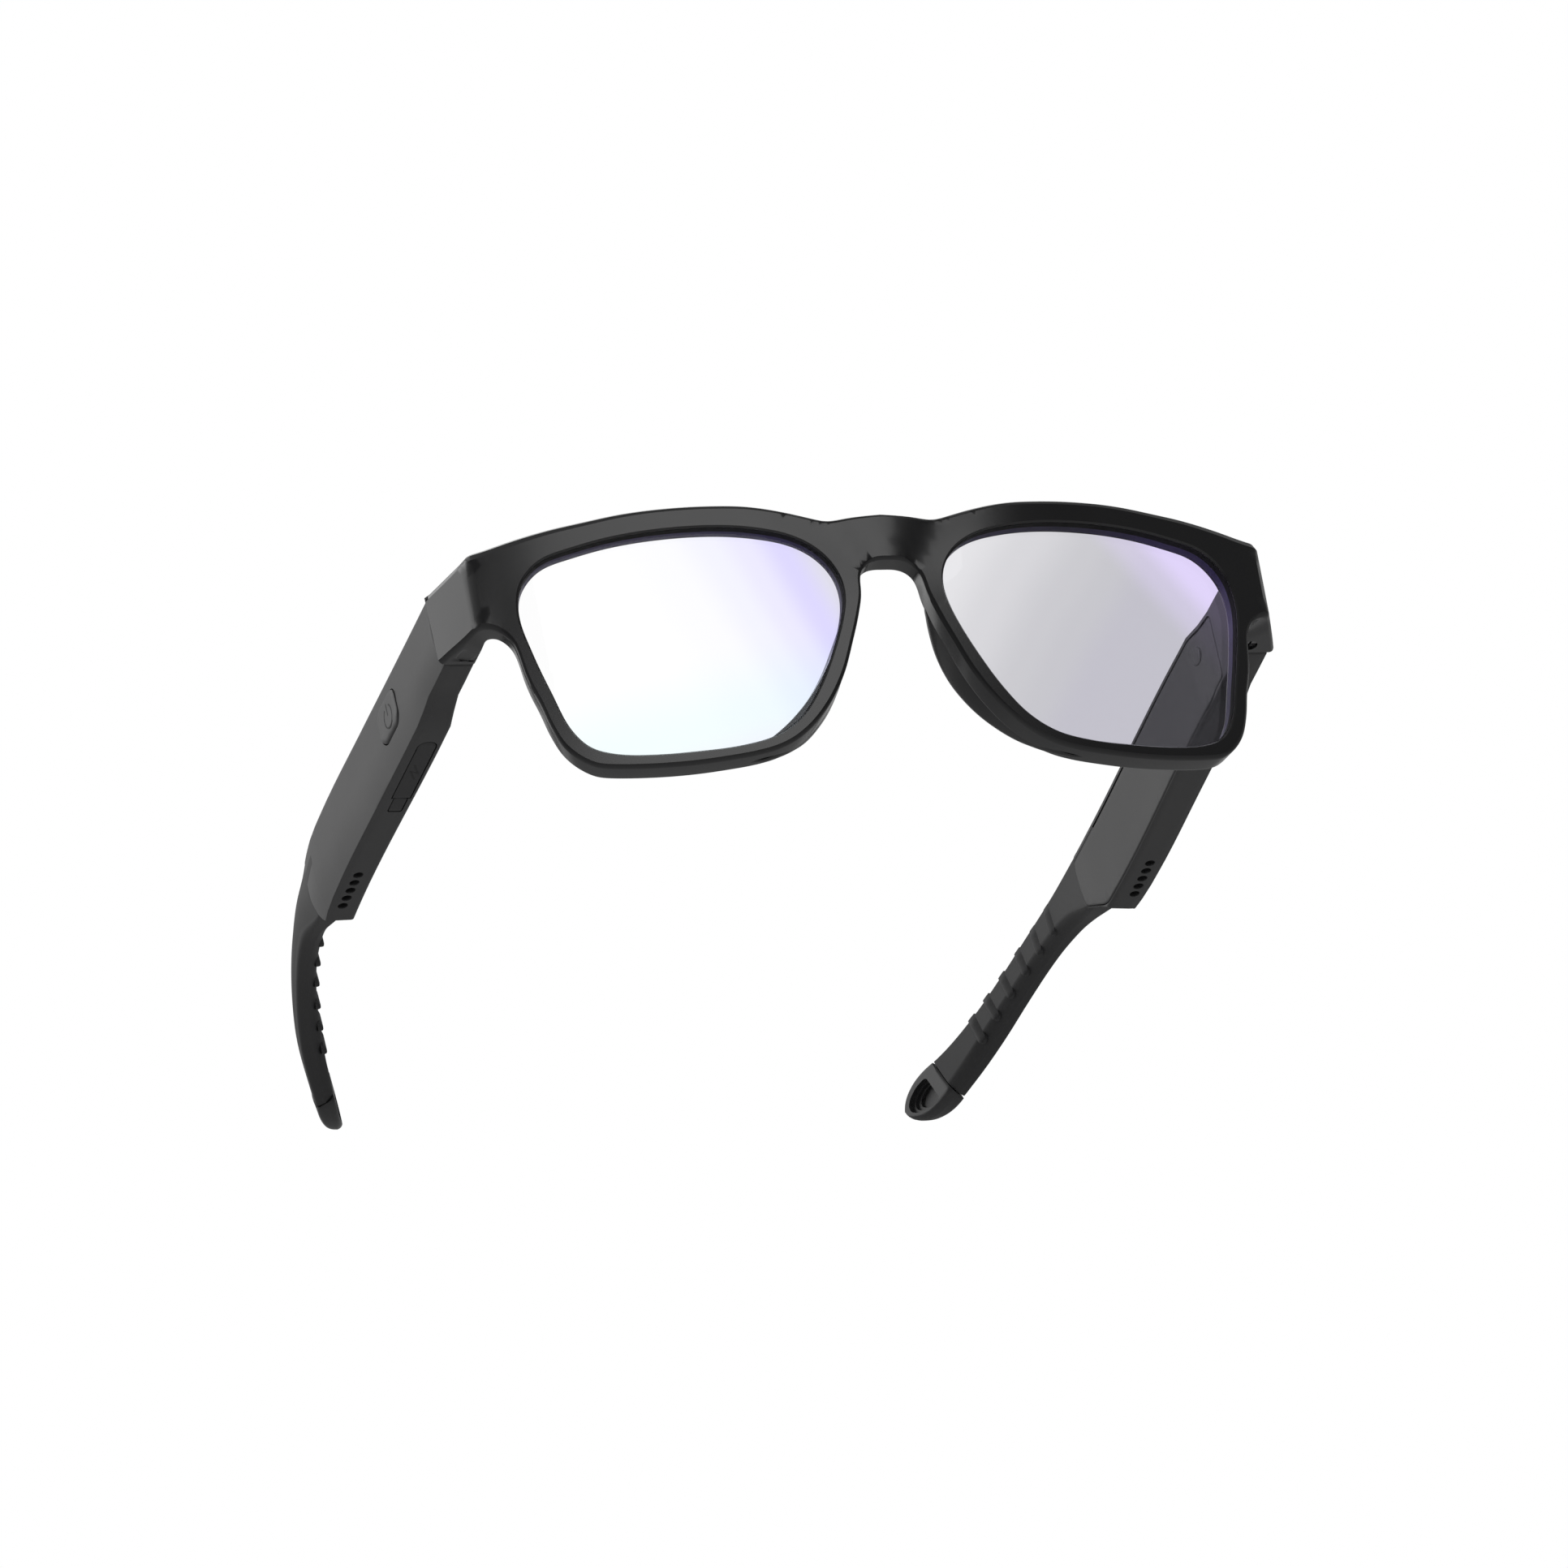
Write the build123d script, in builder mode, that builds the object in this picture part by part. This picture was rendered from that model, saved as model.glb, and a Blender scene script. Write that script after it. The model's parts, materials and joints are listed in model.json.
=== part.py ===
from build123d import *
import math
import os

# Smart glasses in worn axes while they are modelled: +X towards the wearer's left, +Y towards
# the ears, +Z up, with the origin at the middle of the bridge top. All lengths are millimetres.
# Every piece is turned at the end so that the glasses stand on a table on rims and ear tips.

# ---- driving dimensions: front ----
WRAP_R = 212.0              # radius of the front's bend, seen from above
PANTO = 4.7                 # lean of the front, in degrees, rim bottoms towards the cheeks
RIM_T = 4.0                 # thickness of the rims, front to back
LENS_T = 1.8                # lens thickness
LENS_INSET = 1.4            # from the rim's face to the lens
LENS_GROWTH = 1.03          # lens outline over opening outline, so the lens sits in a groove
JOINT_Y = 23.7              # where end piece and temple meet
SHELL_GAP = 0.3             # joint line between end piece and temple
END_X = 73.0                # half width over the end pieces
END_BOTTOM = -13.4          # underside of the end pieces
FACE_END_X = 69.0           # where the front turns into the side

# ---- driving dimensions: hinge ----
HINGE_X, HINGE_Y, HINGE_Z = 68.0, 20.7, -6.2
HINGE_LEAN = 7.0            # lean of the pivot, so a folded ear tip passes under the other hinge
KNUCKLE_R = 1.55
PIVOT_R = 0.70
RUNNING = 0.05              # radial clearance of a running fit
CLEAR = 0.3                 # gap between pieces that move past each other
SLOT_LOW, SLOT_HIGH = -3.9, 3.7     # hinge slot along the pivot, from the hinge's middle
KNUCKLE_H = 3.0             # height of the temple's knuckle

# ---- driving dimensions: temple ----
TEMPLE_BACK = 107.0         # rear end of the electronics casing
MODULE_BOTTOM = -14.35
HINGE_BOTTOM = -13.3        # underside beside the hinge, a little higher
TEMPLE_TOP = 1.0
OUTER_X = 72.7
INNER_X = 65.1
WALL = 1.2
COVER_T = 1.5
HOLE_R, HOLE_PITCH, HOLE_COUNT = 0.78, 2.35, 5
HOLE_X, HOLE_MID_Y = 69.15, 91.5
TIP_END = 165.0

# ---- driving dimensions: controls ----
BUTTON_Y, BUTTON_Z = 50.5, -6.5
BUTTON_L, BUTTON_H, BUTTON_PROUD = 9.6, 6.6, 0.55
FLAP_X, FLAP_W = 68.45, 3.2
FLAP_FRONT, FLAP_BACK = 45.9, 63.2
FLAP_T = 1.0
TETHER_FRONT, TETHER_BACK, TETHER_W = 63.6, 67.3, 2.3
FLOOR_T = 2.4               # casing floor above the port flap
CAP_Y, CAP_Z, CAP_R = 40.0, -4.0, 1.64

FAR = 90.0                  # longer than any cut needs
LEANED = Plane(origin=(0, 0, 0), x_dir=(1, 0, 0),
               z_dir=(0, -math.sin(math.radians(PANTO)), math.cos(math.radians(PANTO))))
HINGE = Plane(origin=(HINGE_X, HINGE_Y, HINGE_Z), x_dir=(1, 0, 0),
              z_dir=(0, -math.sin(math.radians(HINGE_LEAN)), math.cos(math.radians(HINGE_LEAN))))

pieces = {}


def wrap(x, inset=0.0):
    """Depth of the bent front at x, on a surface set back by inset."""
    radius = WRAP_R - inset
    return WRAP_R - math.sqrt(radius ** 2 - x ** 2)


def bent_layer(front_inset, back_inset, half_width):
    """A layer of the bent front between two insets from its face."""
    with BuildPart() as layer:
        with BuildSketch(LEANED):
            with BuildLine():
                front = ThreePointArc((-half_width, wrap(half_width, front_inset)),
                                      (0, front_inset),
                                      (half_width, wrap(half_width, front_inset)))
                back = ThreePointArc((-half_width, wrap(half_width, back_inset)),
                                     (0, back_inset),
                                     (half_width, wrap(half_width, back_inset)))
                Line(front @ 0, back @ 0)
                Line(front @ 1, back @ 1)
            make_face()
        extrude(amount=FAR, both=True)
    return layer.part


LENS_MIDDLE = (36.0, -21.0)
LENS_START = (8.8, -12.8)
LENS_ARCS = (((9.6, -9.5), (12.7, -5.5)), ((16.6, -3.3), (21, -2.1)), ((37, -0.55), (52, -1.8)),
             ((58.4, -3.45), (61.6, -6.9)), ((62.65, -12.2), (61.7, -18.7)),
             ((59.7, -27.3), (57.4, -35.1)), ((55.3, -38.1), (51.4, -39.95)),
             ((45, -41.05), (38, -41.35)), ((30.6, -41.1), (24, -39.6)), ((19.9, -36.8), (16.4, -32.3)),
             ((12.7, -25.5), (10.1, -19.4)), ((9.1, -16.1), LENS_START))


def grown(point, growth):
    """A point of the lens outline moved away from the lens middle."""
    return tuple(middle + (value - middle) * growth for value, middle in zip(point, LENS_MIDDLE))


def lens_blank(growth=1.0):
    """A rod through the left lens opening, or a larger one."""
    with BuildPart() as rod:
        with BuildSketch(Plane.XZ):
            with BuildLine():
                start = grown(LENS_START, growth)
                for through, end in LENS_ARCS:
                    ThreePointArc(start, grown(through, growth), grown(end, growth))
                    start = grown(end, growth)
            make_face()
        extrude(amount=FAR, both=True)
    return rod.part


def sided(part, side):
    """A piece built for the left, or its mirror image for the right."""
    return part if side == "left" else mirror(part, about=Plane.YZ)


# ---- lenses ----
lens_layer = bent_layer(LENS_INSET, LENS_INSET + LENS_T, END_X)
with BuildPart() as left_lens:
    add(lens_blank(LENS_GROWTH))
    add(lens_layer, mode=Mode.INTERSECT)
pieces["left_lens"] = left_lens.part
pieces["right_lens"] = sided(left_lens.part, "right")

# ---- nose pads: swellings behind the nasal side of each rim ----
PAD_SPLAY = 0.3             # how far the pads spread as they go back
with BuildPart() as nose_pad:
    with BuildSketch(Plane.XZ.offset(-2.5)):
        with BuildLine():
            pad_nose = Spline((5.9, -15.0), (8.7, -22.5), (13.9, -32.3), (20.3, -39.6), (27, -42.4))
            pad_lens = Spline((28, -41.6), (20.6, -38.2), (13.4, -28.8), (9.4, -20.0), (8.4, -14.6))
            Line(pad_nose @ 1, pad_lens @ 0)
            Line(pad_lens @ 1, pad_nose @ 0)
        make_face()
    extrude(amount=9.5, dir=(PAD_SPLAY, 1, 0))
    with BuildSketch(Plane.YZ):
        with BuildLine():
            pad_back = Spline((5.2, -14.2), (9.0, -19.0), (11.2, -27.0), (10.6, -36.0), (7.5, -42.8))
            Polyline(pad_back @ 1, (0, -44), (0, -13), pad_back @ 0)
        make_face()
    extrude(amount=FAR, both=True, mode=Mode.INTERSECT)

# ---- brow channel and its flat cable ----


def brow_strip(width, front_inset, back_inset):
    """A strip that follows the brow from end piece to end piece, inside the front."""
    with BuildPart() as strip:
        with BuildSketch(Plane.XZ):
            with BuildLine():
                Spline((-64, -0.6), (-50, 1.2), (-36, 1.5), (-22, 0.2), (-11, -3.4), (0, -4.3),
                       (11, -3.4), (22, 0.2), (36, 1.5), (50, 1.2), (64, -0.6))
            trace(line_width=width)
        extrude(amount=FAR, both=True)
        add(bent_layer(front_inset, back_inset, END_X - 4), mode=Mode.INTERSECT)
    return strip.part


CABLE_W, CABLE_T, CABLE_INSET = 1.0, 0.25, 2.3
front_flex_cable = brow_strip(CABLE_W, CABLE_INSET, CABLE_INSET + CABLE_T)
pieces["front_flex_cable"] = front_flex_cable
brow_channel = brow_strip(CABLE_W + 0.3, CABLE_INSET - 0.1, CABLE_INSET + CABLE_T + 0.1)

# ---- hinge parts that belong to the front, and the room they need ----
LEAF_BACK, LEAF_T = -2.6, 0.8
with BuildPart() as hinge_front_leaf:
    with BuildSketch(HINGE.offset(SLOT_LOW)):
        with Locations((0.25, LEAF_BACK + LEAF_T / 2)):
            Rectangle(2.9, LEAF_T)
    extrude(amount=SLOT_HIGH - SLOT_LOW)
    for low, high in ((SLOT_LOW + 0.2, -KNUCKLE_H / 2 - RUNNING), (KNUCKLE_H / 2 + RUNNING, SLOT_HIGH - 0.2)):
        with BuildSketch(HINGE.offset(low)):
            Circle(KNUCKLE_R)
            with Locations((0.1, LEAF_BACK / 2)):
                Rectangle(1.9, -LEAF_BACK)
        extrude(amount=high - low)
    with BuildSketch(HINGE.offset(SLOT_LOW - 1)):
        Circle(PIVOT_R)
    extrude(amount=10, mode=Mode.SUBTRACT)
    with BuildSketch(Plane(origin=HINGE.location.position, x_dir=(1, 0, 0), z_dir=-HINGE.y_dir)):
        Circle(0.6)
    extrude(amount=6, mode=Mode.SUBTRACT)

with BuildPart() as front_leaf_screw:
    with BuildSketch(Plane(origin=HINGE.origin - HINGE.y_dir * 1.75, x_dir=(1, 0, 0), z_dir=-HINGE.y_dir)):
        Circle(0.6)
    extrude(amount=4.2)

SCREW_BOTTOM, HEAD_TOP, SCREW_TOP, HEAD_R = -6.9, -5.7, 5.0, 1.25
with BuildPart() as hinge_screw:
    with BuildSketch(HINGE.offset(SCREW_BOTTOM)):
        Circle(HEAD_R)
    extrude(amount=HEAD_TOP - SCREW_BOTTOM)
    with BuildSketch(HINGE.offset(HEAD_TOP)):
        Circle(PIVOT_R)
    extrude(amount=SCREW_TOP - HEAD_TOP)
    with BuildSketch(HINGE.offset(SCREW_BOTTOM)):
        Rectangle(3, 0.35)
        Rectangle(0.35, 3)
    extrude(amount=0.5, mode=Mode.SUBTRACT)

RELIEF_R = 2.1
with BuildPart() as room:
    with BuildSketch(HINGE.offset(SLOT_LOW)):
        with Locations((-1.15, 2.2)):
            Rectangle(5.7, 9.6)
    extrude(amount=SLOT_HIGH - SLOT_LOW)
    with BuildSketch(HINGE.offset(-FAR / 2)):
        with Locations((-3, 3)):
            Rectangle(6, 6)
        Circle(RELIEF_R, mode=Mode.SUBTRACT)
    extrude(amount=FAR)
    with BuildSketch(HINGE.offset(-12)):
        Circle(HEAD_R + 0.05)
    extrude(amount=12 + HEAD_TOP)
    with BuildSketch(HINGE.offset(HEAD_TOP)):
        Circle(PIVOT_R)
    extrude(amount=SCREW_TOP + 0.2 - HEAD_TOP)
    add(front_leaf_screw.part)

ARM_MIDDLE, ARM_W, ARM_L = (0.1, 3.6), 1.3, 7.2       # arm of the temple's knuckle, on the hinge plane
with BuildPart() as arm_room:
    with BuildSketch(HINGE.offset(-KNUCKLE_H / 2)):
        with Locations(ARM_MIDDLE):
            Rectangle(ARM_W, ARM_L)
    extrude(amount=KNUCKLE_H)

# ---- front frame ----
INNER_END_X = 66.6
FACE_CORNER_R, BACK_CORNER_R = 1.8, 2.4
with BuildPart() as front_frame:
    with BuildSketch(LEANED):
        with BuildLine():
            face = ThreePointArc((0, 0), (36, wrap(36)), (FACE_END_X, wrap(FACE_END_X)))
            rear = ThreePointArc((0, RIM_T), (36, wrap(36, RIM_T)), (INNER_END_X, wrap(INNER_END_X, RIM_T)))
            Polyline(face @ 1, (END_X, JOINT_Y), (END_X, JOINT_Y + 4), (INNER_END_X, JOINT_Y + 4),
                     rear @ 1)
            Line(face @ 0, rear @ 0)
        make_face()
        fillet(vertices().filter_by_position(Axis.X, FACE_END_X - 0.1, FACE_END_X + 0.1), FACE_CORNER_R)
        fillet(vertices().filter_by_position(Axis.X, INNER_END_X - 0.1, INNER_END_X + 0.1)
               .filter_by_position(Axis.Y, 10, 18), BACK_CORNER_R)
        mirror(about=Plane.YZ)
    extrude(amount=FAR, both=True)
    with BuildSketch(Plane.XZ):
        with BuildLine():
            brow = Spline((0, 0.1), (9.8, -0.7), (20, 2.2), (34, 3.8), (50.6, 3.3), (67.5, 1.3),
                          tangents=((1, 0), (1, -0.2)))
            Polyline(brow @ 1, (END_X + 1, 0.5), (END_X + 1, END_BOTTOM), (67.8, END_BOTTOM))
            notch = ThreePointArc((67.8, END_BOTTOM), (65.0, -14.6), (63.9, -17.8))
            rim = Spline(notch @ 1, (60.4, -33.6), (55.8, -41.2), (39, -43.8), (24.6, -42.2),
                         (13.0, -31.8), (5.5, -13.9))
            arch = ThreePointArc(rim @ 1, (4.6, -10.6), (2.9, -8.7))
            Polyline(arch @ 1, (0, -8.4), (0, 0.1))
        make_face()
        mirror(about=Plane.YZ)
    extrude(amount=FAR, both=True, mode=Mode.INTERSECT)
    for side in ("left", "right"):
        add(sided(nose_pad.part, side))
        add(sided(lens_blank(), side), mode=Mode.SUBTRACT)
        add(pieces[side + "_lens"], mode=Mode.SUBTRACT)
    add(brow_channel, mode=Mode.SUBTRACT)
    with BuildSketch(Plane.XZ.offset(-JOINT_Y)):
        with Locations((0, -10)):
            Rectangle(2 * FAR, FAR)
    extrude(amount=-FAR, mode=Mode.SUBTRACT)
    for side in ("left", "right"):
        add(sided(room.part, side), mode=Mode.SUBTRACT)
pieces["front_frame"] = front_frame.part

# ---- electronics casing of a temple ----


def side_profile(inset=0.0):
    """Side view of the left casing, with its lower edge stepped down behind the hinge."""
    with BuildSketch(Plane.YZ) as profile:
        with BuildLine():
            Polyline((JOINT_Y + SHELL_GAP, TEMPLE_TOP), (JOINT_Y + SHELL_GAP, HINGE_BOTTOM),
                     (35.5, HINGE_BOTTOM), (39.5, MODULE_BOTTOM), (100.5, MODULE_BOTTOM),
                     (106.0, -10.2), (TEMPLE_BACK, -5.0), (TEMPLE_BACK, TEMPLE_TOP), close=True)
        make_face()
        if inset:
            offset(amount=-inset, kind=Kind.INTERSECTION)
    return profile.sketch


with BuildPart() as profile_bar:
    add(side_profile())
    extrude(amount=FAR, dir=(1, 0, 0))

with BuildPart() as casing:
    add(profile_bar.part)
    with BuildSketch(Plane.XY):
        with BuildLine():
            outer = Spline((END_X, JOINT_Y), (OUTER_X + 0.2, 60), (OUTER_X, 90), (70.5, TEMPLE_BACK + 1))
            Polyline(outer @ 1, (INNER_X - 0.2, TEMPLE_BACK + 1), (INNER_X - 0.2, 42), (66.4, 31),
                     (INNER_END_X, JOINT_Y), outer @ 0)
        make_face()
    extrude(amount=FAR, both=True, mode=Mode.INTERSECT)
    with BuildSketch(Plane.XZ):
        with BuildLine():
            bulge = ThreePointArc((71.8, MODULE_BOTTOM), (END_X - 0.1, -7.0), (72.4, TEMPLE_TOP))
            Polyline(bulge @ 1, (INNER_X, TEMPLE_TOP), (65.8, MODULE_BOTTOM), bulge @ 0)
        make_face()
        fillet(vertices().group_by(Axis.Y)[-1].sort_by(Axis.X)[-1], 1.8)
        fillet(vertices().group_by(Axis.Y)[-1].sort_by(Axis.X)[0], 0.5)
    extrude(amount=2 * FAR, both=True, mode=Mode.INTERSECT)

CAVITY_X, COVER_X, COVER_FRONT = 70.8, INNER_X + COVER_T, 33.0
with BuildPart() as cavity:
    add(side_profile(WALL))
    extrude(amount=CAVITY_X, dir=(1, 0, 0))
    with BuildSketch(Plane.XZ.offset(-25.6)):
        Rectangle(2 * FAR, 2 * FAR)
    extrude(amount=-74.0, mode=Mode.INTERSECT)
    with BuildSketch(Plane.XZ.offset(-COVER_FRONT)):
        with Locations((67.0 - FAR / 2, 0)):
            Rectangle(FAR, FAR)
    extrude(amount=FAR, mode=Mode.SUBTRACT)

with BuildPart() as cover_zone:
    with BuildSketch(Plane.YZ):
        with BuildLine():
            Polyline((COVER_FRONT, 0.2), (COVER_FRONT, -12.4), (36, -12.4), (40, -13.5), (100.8, -13.5),
                     (105.2, -10.2), (TEMPLE_BACK + 1, -5.0), (TEMPLE_BACK + 1, 0.2), close=True)
        make_face()
    extrude(amount=COVER_X)

# ---- ear tips: edges of the rubber part and its cap, from the casing to the end ----
SLEEVE_FRONT, SLEEVE_END, CAP_GAP = 101.0, 155.5, 0.2
TIP_TOP = ((100, 0.9), (108, 0.8), (118, 0.2), (130, -1.3), (146, -5.6), (TIP_END, -9.4))
TIP_BOTTOM = ((100, -11.8), (106, -10.4), (114, -8.3), (122, -7.0), (130, -7.4), (146, -11.6),
              (154, -14.9), (160, -16.4), (TIP_END, -16.2))
TIP_INNER = ((100, 65.8), (108, 65.4), (118, 64.3), (130, 62.3), (146, 57.4), (TIP_END, 49.4))
END_ROUND, LONG_EDGE = 2.0, 45.0
TIP_OUTER = ((100, 71.2), (108, 70.4), (118, 69.0), (130, 66.5), (146, 61.9), (TIP_END, 53.4))


def tip_side(inset=0.0, corner=0.0):
    """Side view of the ear tip, with its rear corners rounded."""
    with BuildSketch(Plane.YZ) as side_view:
        with BuildLine():
            top = Spline(*[(y, z - inset) for y, z in TIP_TOP])
            bottom = Spline(*[(y, z + inset) for y, z in TIP_BOTTOM])
            Line(top @ 0, bottom @ 0)
            Line(top @ 1, bottom @ 1)
        make_face()
        if corner:
            fillet(side_view.vertices().group_by(Axis.Y)[-1], corner)
    return side_view.sketch


def tip_form(inset_x=0.0, inset_z=0.0, corner=0.0, front=SLEEVE_FRONT, back=TIP_END):
    """The ear tip's side view crossed with its plan, smaller all round by the insets."""
    with BuildPart() as form:
        add(tip_side(inset_z, END_ROUND if corner else 0.0))
        extrude(amount=FAR, dir=(1, 0, 0))
        with BuildSketch(Plane.XY) as plan:
            with BuildLine():
                inner = Spline(*[(x + inset_x, y) for y, x in TIP_INNER])
                outer = Spline(*[(x - inset_x, y) for y, x in TIP_OUTER])
                Line(inner @ 0, outer @ 0)
                Line(inner @ 1, outer @ 1)
            make_face()
            if corner:
                fillet(plan.vertices().group_by(Axis.Y)[-1], END_ROUND / 2)
        extrude(amount=FAR, both=True, mode=Mode.INTERSECT)
        if corner:
            fillet([edge for edge in form.edges() if edge.length > LONG_EDGE], corner)
        with BuildSketch(Plane.XZ.offset(-front)):
            Rectangle(2 * FAR, FAR)
        extrude(amount=front - back, mode=Mode.INTERSECT)
    return form.part


tip_core = tip_form(1.6, 2.2, back=158.0)

RIB_FIRST_Y, RIB_PITCH, RIB_COUNT = 121.8, 4.85, 6
RIB_PROUD, RIB_W, RIB_L = 0.75, 1.6, 8.6
RIB_TOP_GAP = 0.25          # from the upper ends of the ribs to the edge
RIB_FOOT, RIB_SAG = -6.3, 108.0         # lowest point of the first rib, and how fast the others drop
RIB_LEAN, RIB_TURN = -7.0, -2.0         # lean of the first rib in degrees, and of each next one more
with BuildPart() as ribs:
    with BuildSketch(Plane.YZ):
        for rib in range(RIB_COUNT):
            along = rib * RIB_PITCH
            foot = RIB_FOOT - along ** 2 / RIB_SAG
            lean = RIB_LEAN + RIB_TURN * rib
            with Locations(Location((RIB_FIRST_Y + along, foot, 0), (0, 0, lean))):
                with Locations((0, RIB_L / 2)):
                    SlotOverall(RIB_L, RIB_W, rotation=90)
    extrude(amount=FAR, dir=(1, 0, 0))
    add(tip_side(RIB_TOP_GAP))
    extrude(amount=FAR, dir=(1, 0, 0), mode=Mode.INTERSECT)
    with BuildSketch(Plane.XY):
        with BuildLine():
            crest = Spline(*[(x - RIB_PROUD, y) for y, x in TIP_INNER])
            root = Spline(*[(x + 0.8, y) for y, x in TIP_INNER])
            Line(crest @ 0, root @ 0)
            Line(crest @ 1, root @ 1)
        make_face()
    extrude(amount=FAR, both=True, mode=Mode.INTERSECT)

with BuildPart() as tip_sleeve:
    add(tip_form(corner=1.0, back=SLEEVE_END))
    add(ribs.part)
    add(profile_bar.part, mode=Mode.SUBTRACT)
    add(tip_core, mode=Mode.SUBTRACT)

with BuildPart() as tip_cap:
    add(tip_form(corner=1.0, front=SLEEVE_END + CAP_GAP))
    with BuildSketch(Plane.YZ.offset(40)):
        with BuildLine():
            Line((158.4, -9.6), (158.4, -14.6))
            Spline((158.4, -14.6), (162.0, -14.2), (162.8, -11.9), (158.4, -9.6))
        make_face()
    extrude(amount=12.4, mode=Mode.SUBTRACT)
    add(tip_core, mode=Mode.SUBTRACT)

# ---- small parts shared by both temples ----
PAD_Y, PAD_Z, PAD_L, PAD_H = 31.2, -6.6, 8.4, 7.6       # flat pad of the temple leaf
LEAF_SCREW_Y, LEAF_SCREW_ZS = 33.2, (-4.6, -8.6)
with BuildPart() as hinge_temple_leaf:
    with BuildSketch(HINGE.offset(-KNUCKLE_H / 2)):
        Circle(KNUCKLE_R)
        with Locations(ARM_MIDDLE):
            Rectangle(ARM_W, ARM_L)
        Circle(PIVOT_R + RUNNING, mode=Mode.SUBTRACT)
    extrude(amount=KNUCKLE_H)
    with BuildSketch(Plane.YZ.offset(HINGE_X - 0.4)):
        with Locations((PAD_Y, PAD_Z)):
            Rectangle(PAD_L, PAD_H)
    extrude(amount=0.9)
    with Locations(*[Location((HINGE_X, LEAF_SCREW_Y, z), (0, 90, 0)) for z in LEAF_SCREW_ZS]):
        Hole(0.55, 6)

with BuildPart() as temple_leaf_screws:
    for screw_z in LEAF_SCREW_ZS:
        with BuildSketch(Plane.YZ.offset(HINGE_X - 1.0)):
            with Locations((LEAF_SCREW_Y, screw_z)):
                Circle(1.0)
        extrude(amount=0.6)
        with BuildSketch(Plane.YZ.offset(HINGE_X - 0.5)):
            with Locations((LEAF_SCREW_Y, screw_z)):
                Circle(0.55)
        extrude(amount=3.8)

SCREW_SEAT_X = 66.25
with BuildPart() as case_screw:
    with BuildSketch(Plane.YZ.offset(65.75)):
        with Locations((CAP_Y, CAP_Z)):
            Circle(1.25)
    extrude(amount=SCREW_SEAT_X - 65.75)
    with BuildSketch(Plane.YZ.offset(SCREW_SEAT_X)):
        with Locations((CAP_Y, CAP_Z)):
            Circle(0.6)
    extrude(amount=4.5)

with BuildPart() as screw_cap:
    with BuildSketch(Plane.YZ.offset(60)):
        with Locations((CAP_Y, CAP_Z)):
            Circle(CAP_R)
    extrude(amount=5.75)
    add(casing.part, mode=Mode.INTERSECT)

with BuildPart() as speaker:
    with BuildSketch(Plane.XZ.offset(-85)):
        with Locations((68.9, -9.0)):
            RectangleRounded(3.6, 7.4, 0.8)
    extrude(amount=-13)

MESH_Z = MODULE_BOTTOM + WALL
with BuildPart() as speaker_mesh:
    with BuildSketch(Plane.XY.offset(MESH_Z)):
        with Locations((HOLE_X, HOLE_MID_Y)):
            RectangleRounded(2.6, 12.6, 0.6)
    extrude(amount=0.2)

# ---- parts of the right temple only, modelled on the left like everything else ----
BOARD_X = 67.6
with BuildPart() as circuit_board:
    with BuildSketch(Plane.YZ.offset(BOARD_X)):
        with Locations((55.5, -5.6)):
            RectangleRounded(26, 7.8, 0.8)
    extrude(amount=0.8)

with BuildPart() as wireless_module:
    with BuildSketch(Plane.YZ.offset(BOARD_X + 0.8)):
        with Locations((63.2, -5.6)):
            RectangleRounded(8.6, 6.0, 0.4)
    extrude(amount=1.2)

SWITCH_TOP = 69.1
with BuildPart() as button_switch:
    with BuildSketch(Plane.YZ.offset(BOARD_X + 0.8)):
        with Locations((BUTTON_Y, BUTTON_Z)):
            Rectangle(3.6, 3.0)
    extrude(amount=0.5)
    with BuildSketch(Plane.YZ.offset(BOARD_X + 1.3)):
        with Locations((BUTTON_Y, BUTTON_Z)):
            Circle(0.8)
    extrude(amount=SWITCH_TOP - BOARD_X - 1.3)

SOCKET_Y, SOCKET_L, SOCKET_W, SOCKET_H = 54.0, 7.6, 2.7, 2.0
SOCKET_Z = MODULE_BOTTOM + FLAP_T + CLEAR
with BuildPart() as charging_socket:
    with BuildSketch(Plane.XY.offset(SOCKET_Z)):
        with Locations((FLAP_X + 0.9, SOCKET_Y)):
            RectangleRounded(SOCKET_W, SOCKET_L, 0.6)
    extrude(amount=SOCKET_H)
    with BuildSketch(Plane.XY.offset(SOCKET_Z)):
        with Locations((FLAP_X + 0.9, SOCKET_Y)):
            RectangleRounded(SOCKET_W - 0.6, SOCKET_L - 0.6, 0.4)
    extrude(amount=SOCKET_H - 0.4, mode=Mode.SUBTRACT)

with BuildPart() as microphone:
    with BuildSketch(Plane.YZ.offset(BOARD_X + 0.8)):
        with Locations((44.4, -8.2)):
            Rectangle(2.6, 2.0)
    extrude(amount=1.0)


def battery(front, back):
    """A flat pouch cell behind the circuit board."""
    with BuildPart() as cell:
        with BuildSketch(Plane.XZ.offset(-front)):
            with Locations((68.9, -6.9)):
                RectangleRounded(3.4, 11.2, 1.0)
        extrude(amount=front - back)
    return cell.part


def button_shape(margin, inner_x, outer_x):
    """The rounded oblong of the power button between two depths."""
    with BuildPart() as oblong:
        with BuildSketch(Plane.YZ.offset(inner_x)):
            with Locations((BUTTON_Y, BUTTON_Z)):
                RectangleRounded(BUTTON_L + 2 * margin, BUTTON_H + 2 * margin, 1.0 + margin / 2)
        extrude(amount=outer_x - inner_x)
    return oblong.part


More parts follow.
